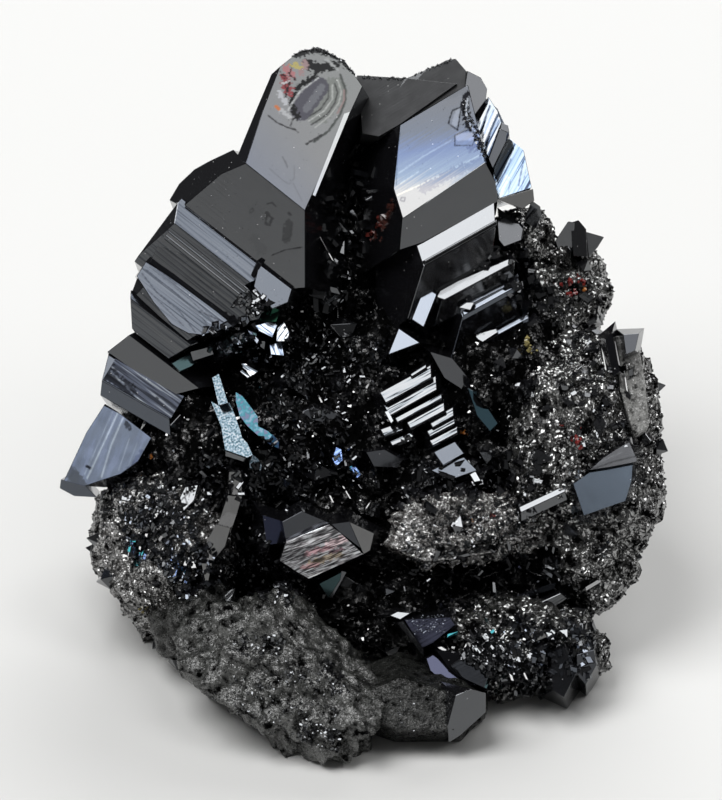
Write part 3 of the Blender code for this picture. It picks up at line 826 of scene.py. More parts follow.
@dataclass
class Flight:
    """A flight of fine growth steps between two ridges.

    Args:
        first: left and right end of the first ridge.
        last: left and right end of the last ridge.
        count: number of ridges.
        lit: share of each step that its rising face takes.
        ends: aims of the two end faces.
        leans: leans of the rising and falling faces.
        depth: how far back each step is solid.
        tint: painted colour of its mirror image.
    """

    first: tuple[Point, Point]
    last: tuple[Point, Point]
    count: int
    lit: float
    ends: tuple[Aim, Aim]
    leans: Aim = (25.0, 25.0)
    depth: float = 1.5
    tint: Tint = Tint.NEUTRAL

    def add_to(self, cluster: Cluster) -> None:
        """Add every step to a cluster."""
        start = [Vector(end) for end in self.first]
        stop = [Vector(end) for end in self.last]
        line = (start[1] - start[0]).to_2d().normalized()
        gap = stop[0] - start[0]
        width = abs(gap.x * line.y - gap.y * line.x) / max(self.count - 1, 1)
        for n in range(self.count):
            share = n / max(self.count - 1, 1)
            left, right = (a.lerp(b, share) for a, b in zip(start, stop))
            wobble = cluster.rng.uniform(0.75, 1.2)
            rise, fall = width * self.lit * wobble, width * (1.0 - self.lit) * wobble
            step = Step(
                tuple(left), tuple(right), rise, fall, self.ends, self.leans, self.depth, (), self.tint
            )
            step.add_to(cluster)


@dataclass
class Growth:
    """A group of crystals that share one piece and one finish.

    Args:
        name: name of the piece.
        finish: what it is made of.
        bevel: width of its edge facets, in millimetres.
    """

    name: str
    finish: Finish
    bevel: float = 0.035

    def parts(self) -> Iterable[Step | Block | Flight]:
        """Return the crystals of the group."""
        return ()

    def build(self) -> bpy.types.Object:
        """Return the finished piece."""
        cluster = Cluster(self.name, self.bevel)
        for part in self.parts():
            part.add_to(cluster)
        return cluster.finish(self.finish)


JET = (0.03, 0.03, 0.04)
# Painted shade: the grey of the dark lines on the chip, beside its bright arcs.
PAINTED_LINE_SHADE = 0.2
SHADE = 0.5
GLINT = (2.0, 2.0, 1.95)
# The chip on the left top face: shallow sunk hollows and ripple arcs, with painted shade and painted
# highlights along the arcs, painted bright and dark patches, and reddish, pink and yellow patches.
CHIP_MARKS = (
    Mark([(-3.3, 22.2), (-2.1, 23.7)], 1.05, (0.78, 0.8, 0.76), 0.3, 0.004),
    Mark(
        [(-1.6, 25), (-1.2, 23.9), (-1.2, 23), (-1.6, 21.9), (-2.5, 20.6), (-3.6, 19.8)], 0.09,
        (0.3, 0.32, 0.3), 0.05, 0.004,
    ),
    Mark([(-1.3, 23.8), (-1.3, 23), (-1.8, 22)], 0.06, (1.1, 0.8, 0.78), 0.03),
    Mark(
        [(-1.8, 24.6), (-1.5, 23.7), (-1.7, 22.8), (-2.4, 21.8), (-3.5, 20.9)], 0.05, (1.5, 1.5, 1.45),
        0.04,
    ),
    Mark([(-2, 24.3), (-1.8, 23.6), (-2, 22.8), (-2.6, 21.9), (-3.8, 21.1)], 0.05, PAINTED_LINE_SHADE, 0.04, 0.004),
    Mark([(-2.2, 24.2), (-2.2, 23.1), (-2.8, 22.2), (-4, 21.4)], 0.05, (1.6, 1.6, 1.55), 0.04),
    Mark([(-2.5, 24.2), (-2.5, 23.2), (-3.1, 22.3), (-4.2, 21.6)], 0.05, PAINTED_LINE_SHADE, 0.04, 0.004),
    Mark([(-4.6, 22.2), (-3.3, 24)], 0.8, (0.36, 0.35, 0.41), 0.12, 0.006),
    Mark([(-4.2, 22.3), (-3, 24)], 0.28, (0.6, 0.6, 0.66), 0.15),
    Mark([(-4.9, 21.7), (-5.4, 22.8), (-4.8, 24), (-3.5, 24.9)], 0.2, 0.08, 0.3),
    Mark([(-4.5, 23.8), (-3.3, 24.7)], 0.05, 1.7, 0.08),
    Mark([(-5.6, 22.2), (-4.7, 23.7)], 0.05, 1.7, 0.15),
    Mark([(-4.2, 25.8), (-3.3, 25.5), (-2.1, 25.7)], 0.38, 0.1, 0.3),
    Mark([(-5, 26.5), (-3.5, 26.9), (-2.2, 26.6), (-0.8, 25.5)], 0.22, 0.12, 0.3),
    Mark([(-2.7, 26.2), (-1.8, 25.4)], 0.1, 1.3, 0.15),
    Mark([(-5.8, 24.8), (-5.6, 23.7)], 0.36, (1, 0.26, 0.28), 0.5),
    Mark([(-5.7, 25.4), (-5.3, 24.9)], 0.3, (1.5, 0.7, 0.72), 0.45),
    Mark([(-6.2, 25.2), (-5.7, 24.6), (-5.8, 24)], 0.05, (0.12, 0.08, 0.08), 0.2),
    Mark([(-5.3, 25.7), (-5.5, 24.9), (-5, 24.6)], 0.05, (0.15, 0.1, 0.1), 0.2),
    Mark([(-6, 24.3), (-5.5, 24.5)], 0.07, (1.9, 1.8, 1.8), 0.25),
    Mark([(-4.6, 25.2), (-4.3, 25.8)], 0.26, (1.2, 0.85, 0.86), 0.3),
    Mark([(-5.1, 25.7), (-4.7, 25.6)], 0.2, (1.6, 1.35, 0.55), 0.35),
    Mark([(-5.5, 24.3), (-5.8, 23.2)], 0.08, 0.1, 0.15),
    Mark([(-6.2, 23.5), (-5.8, 22.8)], 0.2, (1.7, 1.7, 1.75), 0.25),
    Mark([(-5.5, 21.7), (-6.1, 22.2)], 0.16, 1.6, 0.2),
    Mark([(-6.5, 22.5), (-6.3, 22.3)], 0.12, (2, 0.7, 0.3), 0.05),
    Mark([(-7.1, 21.8), (-6.5, 21.3), (-5.7, 20.9), (-5, 20.7)], 0.05, 0.15, 0.05, 0.004),
    Mark([(-5.2, 21.6), (-5.4, 21), (-4.8, 20.5)], 0.04, 0.2, 0.05),
    Mark([(-4.2, 19.6), (-3.7, 19.9), (-3, 20.3)], 0.08, PAINTED_LINE_SHADE, 0.08),
    Mark([(-5.1, 17.8), (-5.1, 17), (-5.5, 16.5), (-6, 16.8), (-6.3, 17.1), (-7, 17.7)], 0.03, 0.7, 0.02),
    Mark([(-6, 18.6), (-5.6, 17.8)], 0.04, SHADE, 0.04),
    Mark([(-5.2, 16.6), (-4.5, 15.2)], 0.03, 0.75, 0.02),
)
DARK_FACE_MARKS = (
    Mark([(-8.5, 14.5), (-8.3, 14.7), (-8.2, 14.5), (-8.5, 14.3), (-8.5, 14.5)], 0.03, SHADE, 0.02),
    Mark([(-7.2, 14.4), (-7.3, 13.5), (-7, 13.4), (-6.8, 13.9), (-7.2, 14.4)], 0.1, SHADE, 0.1),
    Mark([(-7.2, 15), (-6.8, 15.1), (-6.5, 14.8)], 0.05, SHADE, 0.05),
    Mark([(-5.5, 14.3), (-5.4, 14.2)], 0.1, SHADE, 0.05),
    Mark([(-5.5, 13.5), (-5.7, 12.3)], 0.3, 0.62, 0.15),
    Mark([(-6.8, 11.1), (-5.8, 11.5), (-4.5, 11.7)], 0.035, 0.15, 0.04, 0.003),
    Mark([(-5.9, 13.5), (-6, 12.2), (-5.4, 12.5), (-5.3, 13.4)], 0.04, SHADE, 0.04),
    Mark([(-8.1, 12.3), (-7.6, 11.5)], 0.4, 0.9, 0.3),
)
# Fine lines along the band of the left steps: dark lines of painted shade and lines of painted highlight.
BAND_MARKS = (
    Mark([(-16.5, 10), (-14.2, 8.2), (-12.1, 6.3), (-11.5, 5.2)], 0.035, (0.3, 0.32, 0.36), 0.04),
    Mark([(-16.2, 10.2), (-13.2, 7.8), (-11.3, 6), (-10.8, 5.4)], 0.03, (0.45, 0.47, 0.5), 0.04),
    Mark([(-15.6, 10), (-12.7, 7.7), (-10.7, 5.7)], 0.03, (0.5, 0.5, 0.52), 0.04),
    Mark([(-16.8, 9.7), (-15.6, 8.2), (-13.9, 6.8), (-12.7, 5.2)], 0.04, (0.35, 0.36, 0.4), 0.04),
    Mark([(-16.4, 8.5), (-15, 7.1), (-13.6, 5.7)], 0.03, (0.4, 0.4, 0.44), 0.05),
    Mark([(-14.1, 8.8), (-11.9, 7.1), (-10.2, 5.8)], 0.04, (1.35, 1.33, 1.3), 0.04),
    Mark([(-15.2, 8.9), (-12.7, 6.9), (-11.2, 5.4)], 0.03, (1.3, 1.28, 1.25), 0.04),
    Mark([(-12.4, 6.8), (-9.9, 5.7)], 0.05, (0.4, 0.4, 0.42), 0.05),
    Mark([(-11.8, 6), (-10.4, 5.5)], 0.04, 1.5, 0.06),
)
# Marks on the top face of the right crystal: lines and patches of painted highlight, faint dark lines, and
# dark sunk cracks with a painted glint beside them.
TOP_MARKS = (
    Mark([(2.9, 17.4), (4.8, 18.7), (6.9, 19.9)], 0.05, (1.5, 1.45, 1.3), 0.05),
    Mark([(2.8, 15.7), (6.1, 17.2), (9, 18.7)], 0.05, (1.5, 1.45, 1.3), 0.05),
    Mark([(3, 16.6), (4.4, 17.5)], 0.04, (1.5, 1.45, 1.3), 0.04),
    Mark([(2.7, 16.5), (2.8, 19.2), (3, 20.5)], 0.03, (0.4, 0.45, 0.5), 0.03),
    Mark([(3.3, 15.2), (3, 15.3), (3.1, 15.5), (3.4, 15.5), (3.3, 15.2)], 0.04, (0.45, 0.45, 0.5), 0.02),
    Mark([(4.8, 16.2), (7, 17.4), (9.2, 18.2)], 0.35, (0.78, 0.78, 0.84), 0.4),
    Mark([(8.4, 19.2), (9.2, 19.7), (9.6, 18.5)], 0.25, (0.7, 0.7, 0.78), 0.3),
    Mark(
        [(8.1, 23.4), (7.9, 22.2), (8.2, 21.2), (8.9, 20.5), (9.6, 18.8), (10, 17.9)], 0.3, JET, 0.34, 0.01,
    ),
    Mark([(8.2, 23.1), (8, 22.2), (8.4, 21.1), (9, 20.2)], 0.06, GLINT, 0.2),
    Mark([(7.5, 22.1), (7.2, 21.2)], 0.24, 1.5, 0.1),
    Mark([(7, 22.2), (7.7, 22.5), (7.4, 20.7), (6.7, 21.2), (7, 22.2)], 0.05, JET, 0.05, 0.003),
    Mark([(7.5, 20.2), (8.4, 20.2)], 0.3, (1.6, 1.5, 1.4), 0.1),
    Mark(
        [(7.2, 20.3), (8.2, 20.7), (8.9, 20.3), (8.5, 19.5), (7.2, 19.5), (7.2, 20.3)], 0.035, JET, 0.04,
        0.003,
    ),
    Mark([(6.7, 23.4), (7.8, 23.8)], 0.3, 0.9, 0.2),
)
# Marks on the left foot: stripes of painted highlight, with darker patches.
FOOT_MARKS = (
    Mark([(-18.7, -1), (-19.8, -3.4), (-21, -6)], 0.06, (2.3, 2.2, 1.9), 0.02),
    Mark([(-19.1, -0.9), (-20.1, -3.2), (-21.2, -5.7)], 0.03, (1.7, 1.65, 1.5), 0.02),
    Mark([(-18.3, -1.4), (-19.2, -3.5), (-19.9, -5.9)], 0.06, (2.2, 2.1, 1.85), 0.02),
    Mark([(-17.8, -3), (-18.6, -5.4)], 0.035, (1.7, 1.65, 1.5), 0.02),
    Mark([(-17.2, -3.3), (-17.9, -5.1)], 0.03, (1.4, 1.4, 1.3), 0.03),
    Mark([(-21, -5.1), (-20.8, -5.2)], 0.12, 0.1, 0.1),
    Mark([(-18, -1.8), (-17.8, -2.2)], 0.16, 0.25, 0.2),
    Mark([(-16.8, -4), (-17.8, -5.5)], 0.2, (0.6, 0.62, 0.7), 0.3),
    Mark([(-22.7, -5.1), (-21.5, -6.5)], 0.5, (0.5, 0.48, 0.44), 0.2),
)
# Marks on the left slab: darker patches and lines of painted highlight.
SLAB_MARKS = (
    Mark([(-19.8, 2.2), (-19.2, 1.2), (-18.1, 0.6)], 0.85, 0.25, 0.3),
    Mark([(-19.8, 1.1), (-18.7, 0.5), (-17.6, -0.2)], 0.3, 0.12, 0.3),
    Mark([(-19.2, 2.2), (-17.9, 0.9), (-16.4, -0.6)], 0.05, (1.6, 1.6, 1.5), 0.1),
    Mark([(-19.5, 1.5), (-18.4, 0.7), (-17.5, 0.2)], 0.04, 1.4, 0.15),
    Mark([(-15.7, 0.2), (-15.6, 0.1)], 0.07, 0.1, 0.03),
    Mark([(-18.1, 2.8), (-16.2, 1.4)], 0.05, 1.3, 0.1),
)
# Marks on the centre face: lines of painted highlight with dark lines between, and reddish, pink and tan
# patches.
CENTRE_MARKS = (
    Mark([(-5.6, -10.8), (-2.2, -9.5)], 0.14, 1.6, 0.08),
    Mark([(-5.5, -11.1), (-1.9, -9.8)], 0.05, 0.12, 0.04),
    Mark([(-5, -11.3), (-1.8, -10)], 0.08, (1.8, 1.75, 1.75), 0.06),
    Mark([(-4.7, -11.6), (-1.6, -10.3)], 0.04, 0.15, 0.04),
    Mark([(-2.5, -11.1), (-1.3, -10.6)], 0.3, (1.9, 1.5, 1.5), 0.2),
    Mark([(-4.4, -11.8), (-2.4, -11.3)], 0.2, (1.3, 0.8, 0.84), 0.25),
    Mark([(-2.4, -11.7), (-0.8, -11.2)], 0.14, (0.4, 0.25, 0.28), 0.15),
    Mark([(-3.9, -12.5), (-1.6, -11.8)], 0.22, (0.9, 0.75, 0.55), 0.25),
    Mark([(-4.5, -12.8), (-3.3, -12.6)], 0.16, (1.1, 0.7, 0.7), 0.2),
    Mark([(-5.9, -12), (-4.7, -11.7)], 0.4, 0.5, 0.3),
    Mark([(-1.2, -11.2), (-0.2, -11.7)], 0.2, 1.3, 0.2),
    Mark([(-3.9, -13.5), (-1.8, -12.8), (-1.2, -12.3)], 0.08, (1.9, 1.9, 1.85), 0.05),
    Mark([(-4.1, -13.2), (-2.1, -12.5)], 0.04, 0.15, 0.04),
)


@dataclass
class LeftCrystal(Growth):
    """The big left crystal, from the chipped top face down to the lower left."""

    name: str = "left_crystal"
    finish: Finish = MIRROR

    def parts(self) -> Iterable[Step | Block | Flight]:
        """Return its faces and steps."""
        return [
            Block(
                [(-8.8, 18.1), (-4.3, 14.5), (-4.3, 8.6), (-5.5, 8.5), (-13.7, 14.8), (-10.7, 17.3)], 6,
                (25, 231.6), 8, [84, 66, 84, 84, 50, 50],
                [
                    ((-10.1, 19.2, 4.8), (98, 112)), ((-12.7, 18.2, 4.4), (98, 130)),
                    ((-15, 15.3, 3.2), (98, 150)),
                ],
                -38, flank=Tint.DIM, marks=DARK_FACE_MARKS,
            ),
            Block(
                [(-7.8, 10.4), (-5.3, 8.5), (-5.6, 7.5), (-6.8, 7), (-8.2, 8.7)], 3.9, RIGHT_UP, 5,
                grain=-38, tint=Tint.STEEL,
            ),
            Block(
                [(-7.9, 10.6), (-7.6, 10.4), (-8.5, 8.7), (-8.8, 8.9)], 4.1, (8, 200), 4, grain=-110,
                tint=Tint.DARK,
            ),
            Block(
                [(-17.8, 5), (-12.4, 0.9), (-14.7, 0.3), (-19.5, 3.7)], 2, (25, 240), 7, [50, 84, 84, 98],
                grain=-38, tint=Tint.NEUTRAL, flank=Tint.DARK,
            ),
            Step((-19.9, 1.5, 1.8), (-14.7, -1.5, 1.8), 2.1, 1, ((98, 170), (80, 0)), tint=Tint.STEEL),
            Block(
                [(-23.1, -6.1), (-21.2, -6.6), (-20.3, -7.5), (-22.1, -7.4), (-23.2, -6.8)], -0.5,
                (35, 250), 4, [84, 84, 96, 97, 97], (), -113, Tint.STEEL,
            ),
        ]


@dataclass
class LeftSteps(Growth):
    """The growth steps of the big left crystal."""

    name: str = "left_steps"
    finish: Finish = STEP_LINES

    def parts(self) -> Iterable[Step | Block | Flight]:
        """Return its steps."""
        across = (98.0, 141.6)
        lower = (80.0, -64.0)
        ends = (across, lower)
        return [
            Step(
                (-15, 14.1, 4.2), (-8.5, 9, 4.2), 1.75, 4, ends, clips=[((-14.4, 13.5, 4.1), (52, 152))],
                tint=Tint.STEEL, flank=Tint.NEUTRAL,
            ),
            Flight(
                ((-13.5, 14.9, 3.5), (-7.8, 10.7, 3.5)), ((-13.5, 14.8, 3.6), (-7.9, 10.5, 3.6)), 2, 0.5,
                ends, depth=1,
            ),
            Flight(
                ((-14.6, 13.2, 4), (-7.4, 7.4, 4)), ((-15, 12.6, 3.8), (-7.6, 6.7, 3.8)), 3, 0.4, ends,
                (25, 30), 1.5,
            ),
            Block(
                [
                    (-14.6, 13.2), (-8.8, 8.5), (-7.3, 7.3), (-7.8, 6.2), (-9.6, 5.8), (-11.2, 6.8),
                    (-13.9, 8.8), (-16.2, 10.5), (-15.5, 12.1),
                ],
                3.95, LEFT_DOWN, 2, 86, (), -38, flank=Tint.DARK,
            ),
            Step(
                (-17.1, 9.8, 3.5), (-12.2, 5.2, 3.5), 0.75, 1.3, ends,
                clips=[((-16.8, 10.6, 2.8), (98, 160)), ((-16.2, 9.9, 3.3), (50, 160))], tint=Tint.STEEL,
                flank=Tint.NEUTRAL,
            ),
            Block(
                [
                    (-16.5, 10.6), (-15.2, 9.8), (-13.9, 8.9), (-11.2, 6.9), (-9.7, 5.7), (-12.2, 5),
                    (-13.2, 5.1), (-14.5, 5.8), (-15.9, 7.5), (-17.2, 9.5),
                ],
                3.2, (25, 54.3), 3, 87, (), -38, Tint.STEEL, flank=Tint.DARK, marks=BAND_MARKS,
            ),
            Step(
                (-17.7, 7.8, 3), (-13, 4.2, 3), 0.5, 1.8, ((98, 180), lower),
                clips=[((-17.7, 5.6, 2.4), (98, 215))], tint=Tint.STEEL, flank=Tint.NEUTRAL,
            ),
        ]


@dataclass
class Faces(Growth):
    """Crystals that are listed one by one.

    Args:
        crystals: the crystals.
    """

    crystals: Sequence[Step | Block | Flight] = ()

    def parts(self) -> Iterable[Step | Block | Flight]:
        """Return the crystals of the group."""
        return self.crystals


@dataclass
class LeftTop(Growth):
    """The grey top face of the big left crystal, with its white bevel."""

    name: str = "left_top"
    finish: Finish = TOP_GREY

    def parts(self) -> Iterable[Step | Block | Flight]:
        """Return the face."""
        return [
            Block(
                [
                    (-6.2, 25.6), (-4.7, 26.8), (-3.2, 27.1), (-1.2, 26), (0.1, 24.1), (-4.3, 14.5),
                    (-8.8, 18.1), (-7.5, 22.2),
                ],
                2.6, RIGHT_UP, 7.5, [94, 96, 94, 90, 76, 84, 52, 52],
                [((-7, 25.9, 2.2), (98, 160.5)), ((-9.4, 19.1, 5.2), (98, 160.5))], 141.6, Tint.NEUTRAL,
                0.03, Tint.DIM, CHIP_MARKS,
            ),
            Block(
                [(-0.4, 24.3), (0, 24.2), (-3.5, 15.6), (-3.7, 15.7)], 1.42, (30.2, 108.5), 1, 88, bevel=0,
            ),
        ]


@dataclass
class RightBack(Growth):
    """The satin dark face behind the notch of the V, with its rough rim."""

    name: str = "right_back"
    finish: Finish = SATIN

    def parts(self) -> Iterable[Step | Block | Flight]:
        """Return the faces."""
        return [
            Block(
                [(-0.3, 25.1), (3.6, 24.8), (8.2, 24.2), (3, 21.2), (1.6, 20.2), (0.1, 20.5)], -4.5,
                (48, 121), 6, [94, 94, 84, 80, 80, 84],
            ),
            Block(
                [(2.8, 23.8), (4.3, 25), (6.6, 26.2), (7.3, 26.3), (8.2, 25.2), (8.2, 24.2), (3, 21.2)],
                -1.9, (48, 121), 7, [88, 94, 94, 94, 84, 84, 80],
            ),
            Block([(2.8, 23.8), (3.3, 24.7), (6.7, 26.2), (7.4, 26.2), (7, 25.7)], -1.5, (30, 100), 3, 90),
        ]


@dataclass
class RightCrystal(Growth):
    """The big right crystal and the dark face behind the notch of the V."""

    name: str = "right_crystal"
    finish: Finish = MIRROR

    def parts(self) -> Iterable[Step | Block | Flight]:
        """Return its faces and steps."""
        inner = (62.0, 184.0)
        outer = (97.0, 0.0)
        return [
            Block(
                [(3.2, 13.9), (9.5, 18.2), (10.3, 16.7), (10.5, 15.2), (4.8, 12.1), (3, 11.5)], 5,
                (25, -59), 8, [84, 92, 92, 84, 84, 64], tint=Tint.NEUTRAL,
            ),
            Step((4.8, 10.2, 4.6), (10.3, 13.2, 4.6), 1.8, 2.6, (inner, outer), (25, 44), tint=Tint.NEUTRAL),
            Flight(
                ((4.9, 10.6, 4.8), (10.4, 13.7, 4.8)), ((4.9, 10.4, 4.7), (10.4, 13.5, 4.7)), 2, 0.55,
                (inner, outer), tint=Tint.NEUTRAL,
            ),
            Step((6.2, 7.6, 2.5), (11.8, 10.5, 2.5), 0.3, 1.3, (inner, outer), (25, 42)),
            Block([(5.8, 7.9), (6.2, 8.6), (11.5, 10.9), (11.8, 10.6), (6.4, 7.7)], 2.55, (25, 120), 3, 86),
            Step((7.8, 6.3, 1.8), (12.1, 8.8, 1.8), 0.75, 1.9, (inner, outer), (25, 42), tint=Tint.STEEL),
            Flight(
                ((7.7, 7, 1.8), (12.1, 9.2, 1.8)), ((7.9, 6.5, 1.9), (12.1, 8.8, 1.9)), 2, 0.5,
                (inner, outer), tint=Tint.STEEL,
            ),
            Step((8.3, 3.8, 0.2), (12.9, 6.3, 0.2), 0.35, 1.2, (inner, outer), (25, 42), tint=Tint.STEEL),
            Block([(8.2, 4.4), (8.6, 5), (10.4, 5.5), (10.5, 5.2), (8.5, 3.9)], 0.5, (25, 120), 3, 86),
            Block([(7.5, 7.1), (8.1, 7.5), (8.7, 7.5), (8.4, 6.9)], 2, (25, 120), 2, 86),
            Block(
                [
                    (3.2, 11.9), (6.1, 12.3), (10.7, 11.9), (12.2, 8.5), (12.8, 6.6), (9.2, 4.2),
                    (5.3, 5.8), (3.3, 8.5),
                ],
                -1.6, (6, -60), 6, 84,
            ),
            Block(
                [(4.9, 8.7), (5.8, 8.1), (4.8, 5.6), (3.9, 6.2)], 2.4, (24, 118), 5, grain=-70,
                tint=Tint.STEEL,
            ),
            Block([(2.9, 5.5), (4.5, 4.4), (2.1, 3.5)], 1.8, (24, 118), 5, tint=Tint.STEEL),
        ]


@dataclass
class RightTop(Growth):
    """The bright top face of the big right crystal."""

    name: str = "right_top"
    finish: Finish = TOP_BLUE

    def parts(self) -> Iterable[Step | Block | Flight]:
        """Return its face."""
        return [
            Block(
                [(3, 21.1), (8.2, 24.2), (9.6, 18.2), (3.2, 13.9), (2.5, 16.2)], 2.2, (25, 121), 7.5,
                [90, 88, 84, 66, 66], (), 33, Tint.WHITE, marks=TOP_MARKS,
            ),
        ]


@dataclass
class BackCrystal(Growth):
    """The smaller striated crystal behind the right one."""

    name: str = "back_crystal"
    finish: Finish = BACK_LINES

    def parts(self) -> Iterable[Step | Block | Flight]:
        """Return its faces."""
        return [
            Block(
                [(9.6, 23.2), (10.5, 22.4), (11.4, 20.4), (10.2, 17.8), (9.3, 19.2), (8.6, 21.5)], 0.1,
                (25, 110), 7, [95, 95, 80, 80, 80, 80], (), -113, Tint.DARK,
            ),
            Block(
                [(8.9, 22), (9.8, 23.3), (10.5, 22.2), (10.8, 21.3), (9.8, 18.6), (9.3, 19.4), (8.8, 20.5)],
                0.85, (25, 115), 3, 88, (), -113, Tint.WHITE, flank=Tint.DARK,
                # Striations: sunk grooves with painted shade, and darker and paler bluish lines of painted
                # reflection.
                marks=(
                    Mark([(9.1, 20.5), (9.9, 22.6)], 0.07, (0.06, 0.08, 0.14), 0.03, 0.02),
                    Mark([(9.3, 20.1), (10.2, 22.3)], 0.05, (0.15, 0.2, 0.32), 0.03),
                    Mark([(9.5, 19.6), (10.5, 21.9)], 0.1, (0.05, 0.07, 0.12), 0.03, 0.02),
                    Mark([(9.6, 19.2), (10.6, 21.5)], 0.04, (0.2, 0.26, 0.4), 0.03),
                    Mark([(9.8, 18.8), (10.8, 21.2)], 0.08, (0.06, 0.08, 0.14), 0.03, 0.02),
                    Mark([(8.9, 21.1), (9.5, 22.7)], 0.06, (0.1, 0.13, 0.22), 0.03),
                    Mark([(9.5, 20.5), (10.1, 22)], 0.08, (0.55, 0.66, 0.85), 0.04),
                    Mark([(9.8, 19.8), (10.5, 21.6)], 0.06, (0.5, 0.62, 0.82), 0.04),
                ),
            ),
            Block(
                [(11.3, 20.2), (12.5, 19.2), (13.1, 16.3), (10.4, 15.4), (10.1, 17.7), (10.6, 19.3)], 0.3,
                (27, 110), 7, [95, 96, 86, 80, 80, 80], (), -113, Tint.PALE,
                # Patches of painted highlight, and dark lines.
                marks=(
                    Mark([(10.5, 18.5), (11.5, 19.8)], 0.2, (1.3, 1.15, 1), 0.15),
                    Mark([(10.7, 15.7), (11.2, 17.2)], 0.16, (1.3, 1.15, 1), 0.15),
                    Mark([(10.6, 16.4), (11.5, 18.5)], 0.04, (0.3, 0.35, 0.45), 0.05),
                    Mark([(10.8, 17.5), (11.6, 19.1)], 0.03, (0.4, 0.45, 0.55), 0.05),
                    Mark([(12.1, 16.5), (12.5, 18.5)], 0.05, (0.25, 0.3, 0.42), 0.05),
                    Mark([(12.3, 16.2), (12.7, 17.7)], 0.03, (0.4, 0.45, 0.55), 0.05),
                    Mark([(11.3, 16), (11.5, 16.9)], 0.04, (0.4, 0.45, 0.55), 0.05),
                ),
            ),
        ]


@dataclass
class Ladder(Growth):
    """Narrow bright steps that run down from the V toward the lower right."""

    name: str = "ladder"
    finish: Finish = LADDER_LINES
    ridges: Sequence[tuple[Point, Point, float, float]] = (
        ((3.9, 1.8, 2.8), (5, 2.5, 2.8), 0.2, 0.12),
        ((1.9, -0.2, 2.9), (5.4, 1.7, 2.9), 0.84, 0.1),
        ((2.2, -1.2, 2.8), (5.8, 0.8, 2.8), 0.9, 0.1),
        ((2.8, -1.7, 2.8), (6.2, 0.1, 2.8), 0.34, 0.1),
        ((3.8, -2.2, 2.7), (6.4, -0.8, 2.7), 0.74, 0.14),
        ((5.5, -2.1, 2.5), (7.1, -1.2, 2.5), 0.56, 0.14),
        ((1.8, -2.8, 2.3), (3.2, -2.3, 2.3), 0.58, 0.14),
        ((2.4, -3.5, 2.2), (4, -2.8, 2.2), 0.34, 0.14),
        ((5.3, -2.8, 2.4), (7.2, -1.8, 2.4), 0.44, 0.14),
        ((5.5, -3.5, 2.3), (7.4, -2.5, 2.3), 0.44, 0.14),
        ((6.7, -6.9, 1.5), (8.4, -6.2, 1.5), 0.4, 0.4),
    )

    def parts(self) -> Iterable[Step | Block | Flight]:
        """Return its steps."""
        ends = ((70.0, 200.0), (75.0, 10.0))
        return [Step(*ridge, ends, (25.0, 42.0), 5.0) for ridge in self.ridges]


